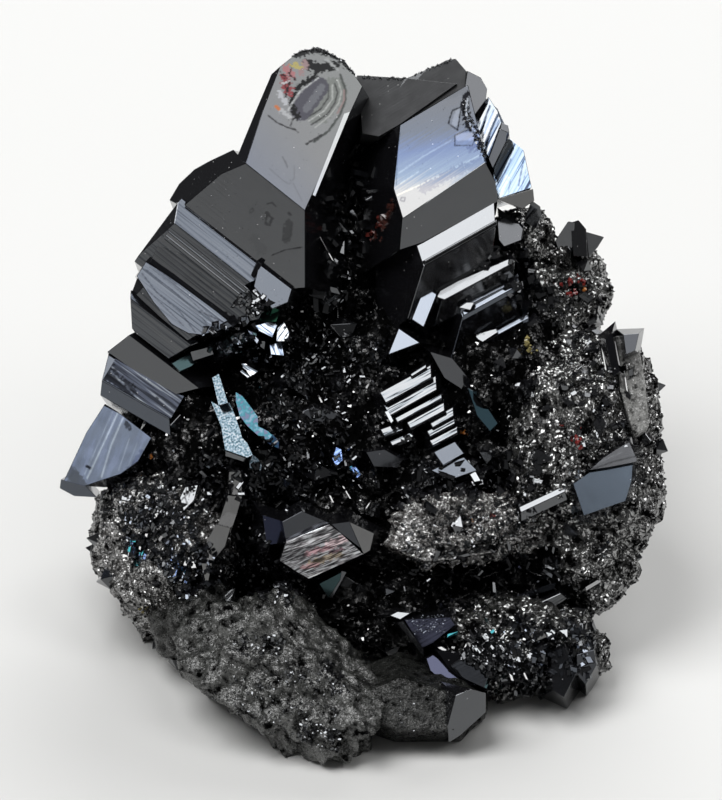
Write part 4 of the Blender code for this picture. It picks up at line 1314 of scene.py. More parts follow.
@dataclass
class LowCrystals(Growth):
    """Crystals of the lower half: centre, right lobe, lower right and bottom."""

    name: str = "low_crystals"
    finish: Finish = MIRROR

    def parts(self) -> Iterable[Step | Block | Flight]:
        """Return the crystals."""
        return [
            Block(
                [(-13.9, -7.5), (-13.5, -6.7), (-12.5, -6.5), (-12.8, -7.7), (-13.6, -8.5)], 2.8, (24, 120),
                4,
                marks=(
                    Mark([(-13.4, -6.8), (-13.5, -7.5), (-13.2, -8.2)], 0.05, 0.15, 0.06),
                    Mark([(-13.8, -7.7), (-13.3, -7.2), (-12.6, -6.9)], 0.04, 0.25, 0.06),
                    Mark([(-13, -6.6), (-13.2, -7.5)], 0.03, 0.3, 0.05),
                ),
            ),
            Block(
                [(15, 12.3), (16, 13.8), (16.5, 13.7), (16.3, 11.1), (15.5, 10.9)], -4.4, (22, -80), 5, 90,
            ),
            Block(
                [(16.2, 13.7), (16.8, 13.9), (17.4, 13.2), (17.5, 11.1), (16.4, 11.1)], -4.2, (14, 20), 5,
                90,
            ),
            Block([(17.4, 13), (18.8, 12.6), (18.3, 11.8), (17.6, 11)], -4.6, (24, -50), 5, 90),
            Step((12.2, -8.6, 6.6), (15.6, -7, 6.6), 0.4, 0.6, ((80, 190), (80, 10)), (25, 35), 5),
            Block(
                [(3.3, -16.8), (6.8, -16.6), (7.2, -17.2), (5.5, -18.6), (4.7, -19)], 5.2, (24, 220), 4,
                tint=Tint.DUSK,
            ),
            Block(
                [(2.8, -17.1), (3.2, -16.9), (4.8, -19.1), (4.8, -19.6)], 5, LEFT_DOWN, 4, tint=Tint.SLATE,
            ),
            Block(
                [(5, -19.8), (5.5, -19.5), (7, -20.6), (8.6, -21.8), (6.5, -21.7), (5.3, -20.7)], 5.4,
                (24, 70), 4, tint=Tint.DUSK,
            ),
            Block(
                [(5.8, -19.2), (8.2, -19.4), (7.5, -21.2), (6.7, -20.5)], 5.6, (14, 200), 4, tint=Tint.DARK,
            ),
            Block(
                [(6.8, -20.3), (8.2, -19.3), (10.1, -20.2), (9.4, -22), (7.6, -21.2)], 6, LEFT_DOWN, 4,
                tint=Tint.DIM,
            ),
            Block(
                [(9.3, -21.9), (10.1, -20.2), (10.4, -20.3), (9.6, -22.1)], 6.1, (24, 60), 4, tint=Tint.SEA,
            ),
            Block([(6.5, -17.8), (7.5, -17.5), (7.4, -17.9), (6.6, -18.2)], 5.6, LEFT_UP, 3, tint=Tint.TEAL),
            Block([(14, -17.7), (14.6, -17.8), (14.8, -18.3), (14.2, -18.3)], 6.4, LEFT_UP, 3),
            Block([(15.1, -17.6), (15.8, -17.5), (15.8, -18.2)], 6.2, LEFT_UP, 3),
            Block([(2.2, -16.5), (2.8, -16.2), (3.8, -16.3), (3, -16.8)], 4.6, (24, 118), 4),
            Block([(12.2, -16.2), (15.3, -14.8), (15.8, -15.2), (13, -17.1)], 4.4, (20, -60)),
            Block(
                [
                    (7.2, -22.5), (8.4, -22), (9.5, -22.3), (9.5, -23.8), (7.5, -25.6), (6.7, -26.1),
                    (6.6, -24.8),
                ],
                10.2, (22, -60), 6, [60, 92, 92, 92, 92, 84, 60],
            ),
        ]


FACES = (
    Faces("left_foot", FOOT_LINES, 0.035, [
        Block(
            [
                (-20, -0.1), (-18.7, -0.9), (-16.1, -2.9), (-17.1, -4.7), (-18.5, -5.7), (-21.2, -6.6),
                (-23.1, -6.1), (-22.5, -4.7), (-21.1, -2.5),
            ],
            0.6, (22, 70), 6, [95, 95, 80, 75, 84, 92, 97, 97, 97], (), -111, Tint.STEEL, marks=FOOT_MARKS,
        ),
    ]),
    Faces("left_slab", SLAB_LINES, 0, [
        Block(
            [(-19.8, 1.6), (-14.6, -1.4), (-13.6, 0.3), (-18.8, 3.3)], 1.84, (25, 60.2), 1, 88, (), -37,
            marks=SLAB_MARKS,
        ),
    ]),
    Faces("centre_face", CENTRE_LINES, 0.03, [
        Block(
            [
                (-5.7, -10.8), (-2.4, -9.5), (-1.5, -10.2), (0.2, -11.8), (-4, -13.7), (-5, -13.1),
                (-6.2, -12.3),
            ],
            6.6, RIGHT_DOWN, 6, 86, grain=22, marks=CENTRE_MARKS,
        ),
    ]),
    Faces("plates", PLATE_SPOTS, 0, [
        Plate([(-11.4, 1.7), (-10.9, 2), (-10.2, -0.2), (-10.9, -0.4)], 3.9, (23, 119), 3, grain=-65),
        Plate(
            [
                (-11.5, -0.1), (-10.8, -0.5), (-10.1, -0.2), (-9.8, -0.8), (-9.3, -2.2), (-9.1, -2.9),
                (-8.7, -3.3), (-8.3, -4.2), (-8.7, -4.4), (-10.4, -3.8), (-10.7, -2.1), (-11, -1.3),
            ],
            3.5, (23, 119), 3, grain=-65,
        ),
        Plate(
            [(-8.3, -4.2), (-7.9, -4.5), (-7.6, -5), (-7.7, -5.4), (-8.5, -5.2), (-8.7, -4.5)], 3.6,
            (24, 70), 3, grain=-65, tint=Tint.SLATE,
        ),
    ]),
    Faces("teal_plates", TEAL_SPOTS, 0, [
        Plate(
            [
                (-9.6, 0.6), (-9.1, 0.3), (-8.4, -0.6), (-7.9, -1.3), (-7.9, -2), (-7.1, -2.4),
                (-6.8, -2.7), (-7.1, -3.1), (-7.9, -2.7), (-8.7, -2), (-9.3, -1.2), (-9.6, -0.1),
            ],
            3, (23, 119), 3, grain=-50,
        ),
        Plate(
            [(-6.8, -2.6), (-6.3, -3.2), (-6.3, -3.7), (-6.8, -3.5), (-7.3, -3.2)], 3.4, (24, 70), 3,
            grain=-50, tint=Tint.DUSK,
        ),
    ]),
    Faces("smooth_faces", SMOOTH, 0.02, [
        Block(
            [(-10.1, -5.5), (-9.2, -5.5), (-9.1, -7.4), (-10.2, -7.2)], 4.3, LEFT_DOWN, 5, 86, (), -80,
            Tint.WHITE,
        ),
        Block(
            [(-10.2, -7.3), (-9.1, -7.4), (-9.5, -8.7), (-10, -10.2), (-11.1, -9.9)], 4.4, LEFT_DOWN, 5, 88,
            (), -70, Tint.WHITE,
        ),
        Block(
            [(-11.1, -9.5), (-10, -9.8), (-10.4, -11.2), (-11.3, -12.3), (-12, -12.2), (-11.8, -10.8)], 5,
            LEFT_DOWN, 5, 88, (), -70, Tint.WHITE,
        ),
        Block([(-12.2, -12.5), (-11.4, -12.5), (-11.8, -14.4)], 5, LEFT_DOWN, 4, 86, (), -70, Tint.WHITE),
        Block([(-10.4, -3.9), (-8.7, -4.5), (-8.8, -4.8), (-10.4, -4.3)], 3.3, LEFT_DOWN, 3, 86),
        Block([(5.3, 3.7), (7, 3.2), (8.4, 1.5), (8.1, 0.6), (6.4, 1.7)], 2.6, RIGHT_DOWN, tint=Tint.SLATE),
        Block(
            [(-4.5, -0.9), (-3.8, -0.6), (-2.4, -0.8), (-0.7, -1.7), (-2.1, -1.9), (-3.8, -1.5)], 2.2,
            RIGHT_DOWN, 4, tint=Tint.DIM,
        ),
        Block(
            [(0.4, -4), (1.8, -3.8), (3.2, -4.6), (2.8, -5.2), (1, -5.1)], 3.2, RIGHT_DOWN, 4,
            tint=Tint.DIM,
        ),
        Block(
            [(16.2, -6.4), (17.5, -5.5), (20.8, -4.7), (20.7, -6.1), (20.2, -7.7), (17, -8.8)], 7.5,
            (20, 40), 5, tint=Tint.HAZE,
        ),
        Block(
            [(17.4, -5.4), (18.4, -4.5), (19.6, -3.7), (20.5, -3.2), (21.1, -4.5), (21, -4.8), (19, -5.1)],
            7.6, (20, 40), 5, tint=Tint.SLATE,
            # A dark line and a line of painted highlight.
            marks=(
                Mark([(17.6, -5.3), (19.3, -4.7), (21, -4.3)], 0.04, 0.3, 0.03),
                Mark([(18.1, -4.8), (19.9, -4)], 0.03, 1.5, 0.03),
            ),
        ),
        Block(
            [(12.5, -17.7), (13.8, -17.5), (14.2, -18.1), (13, -18.6)], 6.9, LEFT_DOWN, 3, tint=Tint.WHITE,
        ),
        Block([(13, -19.1), (14.2, -18.6), (14, -20), (13.2, -19.8)], 6.8, LEFT_DOWN, 3, tint=Tint.SLATE),
        Block(
            [(16.5, -19.5), (17.8, -19.1), (18, -20.3), (17.2, -21.8), (16.5, -20.9)], 6, RIGHT_DOWN, 5,
            tint=Tint.DIM,
        ),
        Block(
            [(14.5, -19.4), (15.5, -18.9), (16.5, -20.8), (15.5, -22.7), (14.7, -22.2)], 6.8, (14, 20), 6,
            tint=Tint.DIM,
        ),
        Block([(18.7, 4.7), (19.2, 5.1), (19.8, 2.2), (19.3, 1.8)], 4.6, (10, 180), 3, tint=Tint.DARK),
        Block([(20.1, 5), (21.3, 5.1), (21, 3.8), (20.3, 3.5)], 4.4, RIGHT_UP, 3, tint=Tint.DIM),
        Block(
            [(8.2, 25.3), (9.2, 24.8), (9.7, 23.9), (9.6, 23.1), (8.5, 21.6), (7.9, 23.4)], 0.6, (24, 56),
            6, [95, 95, 95, 80, 80, 80], tint=Tint.SLATE,
        ),
        Block(
            [(10.8, 21.2), (11.3, 20.9), (11.3, 20.2), (10.1, 17.8), (9.8, 18.5)], 1.4, RIGHT_UP, 3, 88,
            tint=Tint.DIM,
        ),
        Block(
            [(10.8, 21.3), (11.3, 21.1), (11.4, 20.5), (10.7, 20.8)], 1.4, (24, 56), 3, 90, tint=Tint.SLATE,
        ),
        Block(
            [(10.4, 15.4), (13.2, 16.2), (13.3, 15.3), (12.4, 14.7)], 2.7, RIGHT_DOWN, 4, 90,
            tint=Tint.WHITE,
        ),
        Block(
            [(10.5, 13.8), (12.5, 13.5), (12.3, 12.3), (11, 11.8), (10.6, 12.3)], 0.9, (24, 56), 5, 90,
            tint=Tint.SLATE,
        ),
        Block([(10.5, 14.8), (12.5, 13.4), (12.4, 12.4), (10.8, 11.8)], 0.2, (20, 200), 6, 90),
        Block(
            [(13.1, 15.4), (13.8, 14.9), (13.9, 14.2), (13.5, 13.2), (12.6, 13.7)], -0.8, LEFT_DOWN, 5, 94,
        ),
        Block([(-13.1, 3.7), (-11.5, 4.1), (-11.3, 3.5), (-12.9, 3)], 2.4, LEFT_DOWN, 4),
        Block(
            [(-14.5, 2.8), (-13.2, 3.6), (-12.5, 3.1), (-13, 2.6), (-13.9, 2.2)], 2.4, RIGHT_UP, 4,
            tint=Tint.SEA,
        ),
        Block([(-7.8, 6.7), (-7, 7.1), (-6.2, 6.8), (-6.5, 6), (-7.9, 6)], 2.9, RIGHT_UP, 4, tint=Tint.MOSS),
        Block([(-2.4, -9.5), (-0.9, -9.3), (0.2, -11.8), (-1.5, -10.2)], 6.75, (24, -60), 4, tint=Tint.DIM),
        Block([(-0.9, -9.3), (1, -10.2), (0.7, -11.5), (0.2, -11.8)], 6.6, (24, -60), 4, tint=Tint.WHITE),
        Block(
            [(-7.5, -8.8), (-6.2, -9.2), (-5, -10.2), (-5.7, -10.9), (-7.2, -11.1)], 6.5, (24, -60), 4,
            tint=Tint.NAVY,
        ),
        Block([(-6, -9.3), (-4.5, -8.5), (-2.4, -9.4), (-5.7, -10.8)], 6.9, (24, -60), 4, tint=Tint.DIM),
        Block(
            [(-3.2, -14.1), (-1.5, -13.2), (-1.6, -13.8), (-2.5, -15.2)], 3.2, RIGHT_DOWN, 4, tint=Tint.SEA,
        ),
        Block(
            [(-1.5, -13.1), (-1.1, -13.2), (-2.2, -15.2), (-2.5, -15.1)], 3.3, RIGHT_DOWN, 4,
            tint=Tint.SLATE,
        ),
    ]),
    Faces("ladder_faces", SMOOTH, 0.03, [
        Block([(5.6, -4), (7.2, -3.2), (7.9, -4.1), (6.3, -5)], 2.6, RIGHT_UP, 4, grain=25, tint=Tint.STEEL),
        Block(
            [(5.4, -5.4), (6.7, -4.8), (7.9, -4.4), (8.9, -5.4), (6.9, -6.1)], 2.5, (25, 70), 4, grain=25,
            tint=Tint.STEEL,
        ),
        Block([(7.8, -4.8), (8.3, -4.6), (9.2, -6.2), (8.7, -6.3)], 1.5, (25, 100), 4, grain=-60),
        Block([(1.8, -0.9), (2.1, -0.8), (2.5, -1.6), (2.3, -1.8)], 2.6, LEFT_UP, 3),
        Block(
            [(8.2, 0.9), (9, 0.5), (10.5, -1.8), (9.9, -2.4), (8.9, -1.2)], 2.5, RIGHT_UP, 3,
            tint=Tint.LAGOON,
        ),
    ]),
    Faces("wedge", WEDGE_LINES, 0.02, [
        Block(
            [(-8.1, 5.7), (-7, 6), (-6.4, 5.8), (-6.8, 4.8), (-7.8, 5.3)], 3.5, (25, 102), 4, 86, (), -40,
            Tint.STEEL,
        ),
        Block(
            [(-6.4, 5.5), (-5.9, 6), (-5.5, 5.2), (-5.6, 4.5), (-6.5, 4.5)], 3.6, (25, 106), 4, 86, (), 58,
            Tint.WHITE,
        ),
        Block(
            [(-7, 4.2), (-6.1, 4.5), (-5.9, 3.4), (-6.9, 3.5)], 3.3, (25, 102), 4, 86, (), -70, Tint.STEEL,
        ),
        Block(
            [(-8.7, 5.4), (-8.1, 5.1), (-7.8, 4.5), (-8.4, 4.8)], 3.2, RIGHT_UP, 3, 86, (), -40, Tint.STEEL,
        ),
        Block([(-9.2, 2.8), (-8.8, 2.8), (-8.2, 2), (-8.5, 1.8)], 2.4, LEFT_UP, 3, 86, (), -40, Tint.WHITE),
        Block(
            [(-10, 4.8), (-8.8, 5.2), (-8.1, 4.8), (-9.3, 4.2)], 2.9, RIGHT_UP, 4, 86, (), -35, Tint.STEEL,
        ),
        Block(
            [(-11, 4.4), (-10.1, 4.5), (-9.6, 3.8), (-10.7, 3.5)], 2.7, RIGHT_UP, 4, 86, (), 20, Tint.SLATE,
        ),
        Block(
            [(-9.1, 2.5), (-8.8, 2.7), (-7.9, 2.2), (-8.3, 1.9)], 2.6, (25, 120), 4, 86, (), -35,
            Tint.WHITE,
        ),
        Block(
            [(-9.3, 2.2), (-9.1, 2.3), (-8.5, 1.8), (-8.7, 1.7)], 2.5, (25, 120), 4, 86, (), -35,
            Tint.WHITE,
        ),
        Block(
            [(-1.9, -3.6), (-1.5, -3.8), (-1.4, -4.6), (-1.9, -5.1), (-2.2, -4.5)], 3, LEFT_UP, 4, 86,
            tint=Tint.BLUE,
        ),
        Block([(-0.8, -5.2), (-0.4, -5.1), (0, -5.7), (-0.3, -6)], 3, LEFT_UP, 4, 86, tint=Tint.BLUE),
    ]),
    Faces("foot_rock", FOOT_ROCK, 0.1, [
        Block(
            [
                (0.4, -22.3), (3, -21.2), (6.8, -22.3), (7.8, -24), (6.2, -26.8), (4.5, -26), (2.4, -25.2),
                (0.5, -25.2),
            ],
            9, (12, 80), 7, 74,
        ),
    ]),
    Faces("tongue_face", SANDY, 0.1, [
        Block(
            [
                (2.2, -11.2), (3.3, -8.6), (6.1, -7.7), (9.3, -8.3), (12.2, -10), (10.7, -11.5), (7, -12.2),
                (4.5, -12.3),
            ],
            7, (12, 60), 5, 86,
        ),
    ]),
    Faces("lobe_edge", PALE, 0.1, [
        Block(
            [(19.5, 4.9), (21.5, 5.1), (21.8, 1.5), (22.4, -1.8), (21, -2.8), (19.9, 0.6)], 3, (30, 30), 6,
            [96, 96, 96, 80, 80, 80],
        ),
    ]),
)


@dataclass
class BackSide(Growth):
    """Larger blunt crystals over the back."""

    name: str = "back_side"
    finish: Finish = MIRROR
    seed: int = 4
    spots: Sequence[tuple[Point, float]] = (
        ((-7.6, 10.6, -8.5), 3.8), ((-4.7, 15, -8), 3.6), ((-1.2, 12.3, -11.5), 4.2),
        ((3.4, 14.2, -8), 3.8), ((6.8, 10.6, -8.5), 3.8), ((8.4, 6.2, -11), 4.2), ((-10.5, 5.4, -8.5), 4),
        ((-4.7, 5.4, -13.5), 4.6), ((2.6, 4.6, -13.8), 4.6), ((10.7, 0.8, -12), 4.4),
        ((-12.4, -1.5, -10), 4.4), ((-7.6, -1.2, -15.5), 4.6), ((-0.8, -2.3, -17), 4.6),
        ((6.1, -1.9, -16.5), 4.6), ((13, -4.6, -10.5), 4.2), ((-14.3, -6.9, -9), 4),
    )

    def build(self) -> bpy.types.Object:
        """Return the finished piece."""
        cluster = Cluster(self.name, 0.05)
        rng, steps = random.Random(self.seed), random.Random(self.seed + 1)
        for spot, size in self.spots:
            turn = random_turn(rng)
            add_grain(cluster, Vector(spot), size, turn)
            for _ in range(HILLOCKS):
                self.add_hillock(cluster, Vector(spot), size, turn, steps)
        return cluster.finish(self.finish)

    @staticmethod
    def add_hillock(
        cluster: Cluster, centre: Vector, size: float, turn: Matrix, rng: random.Random
    ) -> None:
        """Add a smaller crystal grown parallel with a large one, just out of one of its faces."""
        share = rng.uniform(0.3, 0.72)
        place = Vector([rng.uniform(0.15, 1.0) for _ in range(3)])
        place *= (1.0 - share + rng.uniform(0.03, 0.08)) * size / sum(place)
        place = Vector([along * rng.choice((-1.0, 1.0)) for along in place])
        place.z *= GRAIN_STRETCH
        add_grain(cluster, centre + turn @ place, size * share, turn)


def random_turn(rng: random.Random) -> Matrix:
    """Return a random rotation."""
    return Matrix.Rotation(rng.uniform(0, math.tau), 3, Vector([rng.gauss(0, 1) for _ in range(3)]))


def add_grain(cluster: Cluster, centre: Vector, size: float, turn: Matrix) -> None:
    """Add a blunt double pyramid."""
    tips = [(1, 0, 0), (-1, 0, 0), (0, 1, 0), (0, -1, 0), (0, 0, GRAIN_STRETCH), (0, 0, -GRAIN_STRETCH)]
    corners = [centre + turn @ Vector(tip) * size for tip in tips]
    cluster.add(corners, turn @ Vector((0, 0, 1)), Tint.NEUTRAL)


@dataclass(frozen=True)
class Lump:
    """A rough lump: a ball drawn out to three radii and pitted with noise.

    Args:
        name: name of the lump.
        centre: its middle.
        radii: its three radii.
        roughness: depth of the coarse noise, as a share of the radii.
        grain: size of the coarse noise.
        seed: seed of the coarse noise.
        finish: what it is made of.
        fineness: subdivisions of the ball.
        crumbs: depth of the fine crumbs, in millimetres.
        jitter: how far each corner is moved at random, in millimetres.
        count: number of larger grains sown on it.
        size: size of those grains.
        back: how far to the back they go.
        turn: how far its radii are turned on the show side, in degrees.
        cuts: flat faces, an aim and a distance from the middle each.
    """

    # name: name of the lump; not used.
    name: str
    centre: Point
    radii: Point
    roughness: float
    grain: float
    seed: int
    finish: Finish = CRUST
    fineness: int = 5
    crumbs: float = 0.22
    jitter: float = 0.05
    count: int = 0
    size: float = 0.8
    back: float = 0.0
    turn: float = 0.0
    cuts: Sequence[tuple[Aim, float]] = ()

    def skin(self, direction: Vector) -> Vector:
        """Return the smooth skin's place in a direction, from the middle."""
        place = Vector([direction[n] * self.radii[n] for n in range(3)])
        place.rotate(Matrix.Rotation(math.radians(self.turn), 3, "Z"))
        for aim, reach in self.cuts:
            over = place.dot(facing(*aim)) / reach
            if over > 1.0:
                place /= over
        return place

    def add_to(self, shape: bmesh.types.BMesh) -> None:
        """Add the lump's skin to a shape, in show side millimetres."""
        made = bmesh.ops.create_icosphere(shape, subdivisions=self.fineness, radius=1.0)
        shift = Vector((self.seed * 7.3, self.seed * 3.1, self.seed * 5.7))
        rng = random.Random(self.seed)
        for vertex in made["verts"]:
            direction = vertex.co.normalized()
            place = self.skin(direction)
            coarse = place / self.grain
            bump = noise.noise(coarse + shift) + 0.5 * noise.noise(coarse * 2.3 - shift)
            near = noise.voronoi(place / 1.1 + shift)[0]
            fine = noise.noise(place / 0.45 + shift) + 0.6 * noise.noise(place / 0.2 - shift)
            crumb = self.crumbs * (1.2 - 2.2 * near[0] + 0.8 * fine)
            crumb += self.jitter * rng.gauss(0.0, 1.0)
            vertex.co = Vector(self.centre) + place * (1.0 + self.roughness * bump) + direction * crumb
            sunk = SHOW.height(vertex.co)
            if sunk < 0.0:
                vertex.co += Vector((0.0, math.cos(SHOW.lean), math.sin(SHOW.lean))) * -sunk


LUMPS = (
    Lump("core", (-0.7, -4, -7.8), (16.6, 14.6, 9), 0.2, 3.6, 1, DEEP_SHADE, 6, count=44, size=1.2),
    Lump("trench_floor", (-0.7, 5.4, -10.2), (7, 10, 5.5), 0.16, 3, 2, DEEP_SHADE, count=12, back=0.3),
    Lump("back", (-0.1, 10.2, -9), (10.5, 12, 6), 0.16, 4, 3, DEEP_SHADE),
    Lump("back_foot_mass", (-0.4, -4.8, -14), (15, 7, 7), 0.16, 4, 13, DEEP_SHADE),
    Lump("hollow", (4.9, -15.5, -2.6), (11.5, 4.6, 5.5), 0.18, 3, 14, DEEP_SHADE, count=8, back=0.2),
    Lump("hollow_right", (14.4, -13.2, -2), (4.6, 4.6, 5), 0.18, 3, 18, DEEP_SHADE, count=4, back=0.2),
    Lump("middle_left", (-10.7, -4.6, -2.4), (6.5, 6.5, 4.5), 0.24, 2.4, 11, DEEP_SHADE, count=20, back=0.2),
    Lump("right_shoulder", (11.5, 0, -3.4), (6, 7, 6), 0.22, 2.4, 12, DEEP_SHADE, count=12, back=0.2),
    Lump(
        "crust", (-15, -11.2, -3.2), (5.7, 6.7, 6.6), 0.2, 3, 4, GRIT, 6, count=30, back=-0.5,
        cuts=(((90, -140), 5.3),),
    ),
    Lump("crust_foot", (-12.6, -17.1, -0.6), (3.3, 3.5, 5), 0.2, 2.6, 15, FOOT_ROCK, count=10, back=-0.5),
    Lump(
        "lobe", (17.4, -4.2, -0.5), (6.2, 9.6, 8.4), 0.12, 3, 6, CRUST, 6, count=14, back=-0.5,
        cuts=(((22, 165), 6.6), ((48, 10), 5.4), ((60, 95), 7.4), ((38, -80), 6.6), ((90, 0), 5.7)),
    ),
    Lump("lobe_foot", (17.3, -11.5, -1.2), (3.9, 4.7, 5.6), 0.2, 2.6, 17, CRUST, count=10, back=-0.5),
    Lump("back_druse", (15.2, 8.2, -8), (3.7, 4.4, 5), 0.26, 2.4, 7, CRUST, count=12, back=-0.5),
    Lump("tongue", (8.1, -9.8, 3.6), (5.6, 2.5, 3.9), 0.3, 1.3, 8, SANDY, 6, 0.4, 0.02, count=6, size=0.6),
    Lump("corner", (11.6, -18.8, 0.8), (6.8, 4, 5.6), 0.2, 2.6, 9, CRUST, count=18, back=-0.5),
    Lump("bridge", (12.4, 12.6, -5.4), (2.5, 2.4, 3.6), 0.16, 2.4, 19, CRUST),
    Lump("foot", (4.4, -23.5, 4.2), (5, 2.6, 4.2), 0.14, 2.6, 10, FOOT_ROCK, 5, 0.1, 0.01),
    Lump(
        "boulder", (-5.8, -20.5, 5.6), (10, 6, 7.4), 0.15, 1.7, 5, DULL, 6, 0.26, 0.015, turn=-40,
        cuts=(
            ((10, 150), 4.2), ((60, 50), 4), ((90, 45), 4.4), ((90, -125), 4.8), ((90, 130), 7.4),
            ((90, -38), 8.2), ((60, -120), 5.7), ((50, 140), 5.6), ((90, 102), 5.7),
        ),
    ),
)


@dataclass
class RoughMass:
    """The rough granular mass between and behind the crystals.

    Args:
        lumps: the lumps it is made of.
        seed: seed of its grains.
    """

    lumps: Sequence[Lump] = LUMPS
    seed: int = 11

    def build(self) -> list[bpy.types.Object]:
        """Return one piece for each finish, and one for the grains."""
        made = []
        for name, finish in ROUGH_FINISHES.items():
            lumps = [lump for lump in self.lumps if lump.finish is finish]
            made.append(self._piece("rough_" + name, lumps, finish))
        made.append(self._grains())
        return made

    def _piece(self, name: str, lumps: Sequence[Lump], finish: Finish) -> bpy.types.Object:
        """Return one piece from several lumps."""
        shape = bmesh.new()
        for lump in lumps:
            lump.add_to(shape)
        shape.transform(SHOW.matrix())
        mesh = bpy.data.meshes.new(name)
        shape.to_mesh(mesh)
        shape.free()
        mesh.materials.append(finish.material())
        mesh.polygons.foreach_set("use_smooth", [finish in (DULL, FOOT_ROCK)] * len(mesh.polygons))
        made = bpy.data.objects.new(name, mesh)
        bpy.context.scene.collection.objects.link(made)
        return made

    def _grains(self) -> bpy.types.Object:
        """Return the larger grain crystals that the CAD part has too."""
        cluster = Cluster("grains", 0.03)
        rng = random.Random(self.seed)
        for lump in self.lumps:
            sown = 0
            while sown < lump.count:
                aim = Vector([rng.gauss(0, 1) for _ in range(3)]).normalized()
                if aim.z < lump.back:
                    continue
                spot = Vector(lump.centre) + lump.skin(aim) * 0.97
                add_grain(cluster, spot, lump.size * rng.uniform(0.6, 1.25), random_turn(rng))
                sown += 1
        return cluster.finish(MIRROR)


@dataclass
class Ground:
    """What already stands, to set small crystals on.

    Args:
        standing: finished pieces.
    """

    standing: Sequence[bpy.types.Object]
    trees: list[BVHTree] = field(default_factory=list)

    def __post_init__(self) -> None:
        """Index every standing piece."""
        back = SHOW.matrix().inverted()
        for piece in self.standing:
            shape = bmesh.new()
            shape.from_mesh(piece.data)
            shape.transform(back)
            self.trees.append(BVHTree.FromBMesh(shape))
            shape.free()

    def out_at(self, across: float, up: float) -> float | None:
        """Return how far out the foremost surface lies at a place on the show side."""
        found = []
        for tree in self.trees:
            hit = tree.ray_cast(Vector((across, up, 60.0)), Vector((0.0, 0.0, -1.0)))[0]
            if hit is not None:
                found.append(hit.z)
        return max(found) if found else None


@dataclass
class Nest:
    """Small crystals strewn beside a line on the show side.

    Args:
        path: corners of the line.
        width: how far to either side they lie.
        count: how many there are.
        size: smallest and largest size.
        aims: front faces to choose from.
        spread: how far a front face strays from its aim, in degrees.
        stretch: length over breadth.
        turn: direction of their length, in degrees, or None for any.
        tints: tints to choose from.
        lift: how far they stand out of the ground.
        seed: seed of their places.
    """

    path: Sequence[Point]
    width: float
    count: int
    size: tuple[float, float] = (0.2, 0.6)
    aims: Sequence[Aim] = ((25.0, 120.0), (25.0, 51.6), (25.0, -70.0), (5.0, 0.0))
    spread: float = 12.0
    stretch: float = 1.6
    turn: float | None = None
    tints: Sequence[Tint] = (Tint.NEUTRAL,)
    lift: float = 0.2
    seed: int = 1

    def add_to(self, cluster: Cluster, ground: Ground) -> None:
        """Add the crystals to a cluster."""
        rng = random.Random(self.seed * 101 + len(self.path))
        legs = list(zip(self.path, self.path[1:]))
        lengths = [math.dist(a, b) + 1e-6 for a, b in legs]
        for _ in range(self.count):
            start, stop = rng.choices(legs, lengths)[0]
            along = rng.random()
            aside = rng.uniform(-self.width, self.width)
            lean = math.atan2(stop[1] - start[1], stop[0] - start[0]) + math.pi / 2
            across = start[0] + (stop[0] - start[0]) * along + math.cos(lean) * aside
            up = start[1] + (stop[1] - start[1]) * along + math.sin(lean) * aside
            out = ground.out_at(across, up)
            if out is not None:
                self._one(cluster, Vector((across, up, out)), rng)

    def _one(self, cluster: Cluster, place: Vector, rng: random.Random) -> None:
        """Add one crystal at a place."""
        half = rng.uniform(*self.size) / 2
        if self.turn is None:
            turn = rng.uniform(0, math.pi)
        else:
            turn = math.radians(self.turn + rng.gauss(0, 6))
        ahead = Vector((math.cos(turn), math.sin(turn)))
        aside = Vector((-ahead.y, ahead.x))
        skew = rng.uniform(-0.5, 0.5)
        corners = []
        for far, wide in ((-1, -1), (1, -1), (1, 1), (-1, 1)):
            spot = ahead * (far * half * self.stretch + wide * skew * half) + aside * (wide * half)
            spot *= rng.uniform(0.8, 1.15)
            corners.append((place.x + spot.x, place.y + spot.y))
        lean, toward = rng.choice(list(self.aims))
        front = (abs(lean + rng.gauss(0, self.spread)), toward + rng.gauss(0, self.spread * 1.5))
        out = place.z + self.lift * rng.uniform(0.3, 1.2)
        deep = half * 3.0 + self.lift
        tint = rng.choice(list(self.tints))
        Block(corners, out, front, deep, 72.0, (), math.degrees(turn), tint, 0.0).add_to(cluster)


@dataclass(frozen=True)
class Sliver:
    """A narrow straight crystal edge that catches the light.

    Args:
        start: one end on the show side.
        stop: the other end.
        width: its breadth, in millimetres.
        aim: its front face.
        tint: painted colour of its mirror image.
        lift: how far it stands out of the ground.
    """

    start: Point
    stop: Point
    width: float = 0.15
    aim: Aim = (25.0, 120.0)
    tint: Tint = Tint.WHITE
    lift: float = 0.15

    def add_to(self, cluster: Cluster, ground: Ground) -> None:
        """Add it to a cluster."""
        start, stop = Vector(self.start), Vector(self.stop)
        outs = [ground.out_at(*start.lerp(stop, n / 4)) for n in range(5)]
        outs = [out for out in outs if out is not None]
        if not outs:
            return
        aside = (stop - start).normalized().orthogonal() * self.width / 2
        tip = (stop - start) * 0.06
        corners = [start - aside, stop - aside - tip, stop + aside, start + aside + tip]
        grain = math.degrees(math.atan2(stop.y - start.y, stop.x - start.x))
        face = facing(*self.aim)
        outline = [tuple(corner) for corner in corners]
        middle = sum(corners, Vector((0.0, 0.0))) / 4
        drop = (corners[0] - middle).dot(face.to_2d()) / face.z
        out = sum(outs) / len(outs) + self.lift - drop
        Block(outline, out, self.aim, 1.0, 86.0, (), grain, self.tint, 0.0).add_to(cluster)


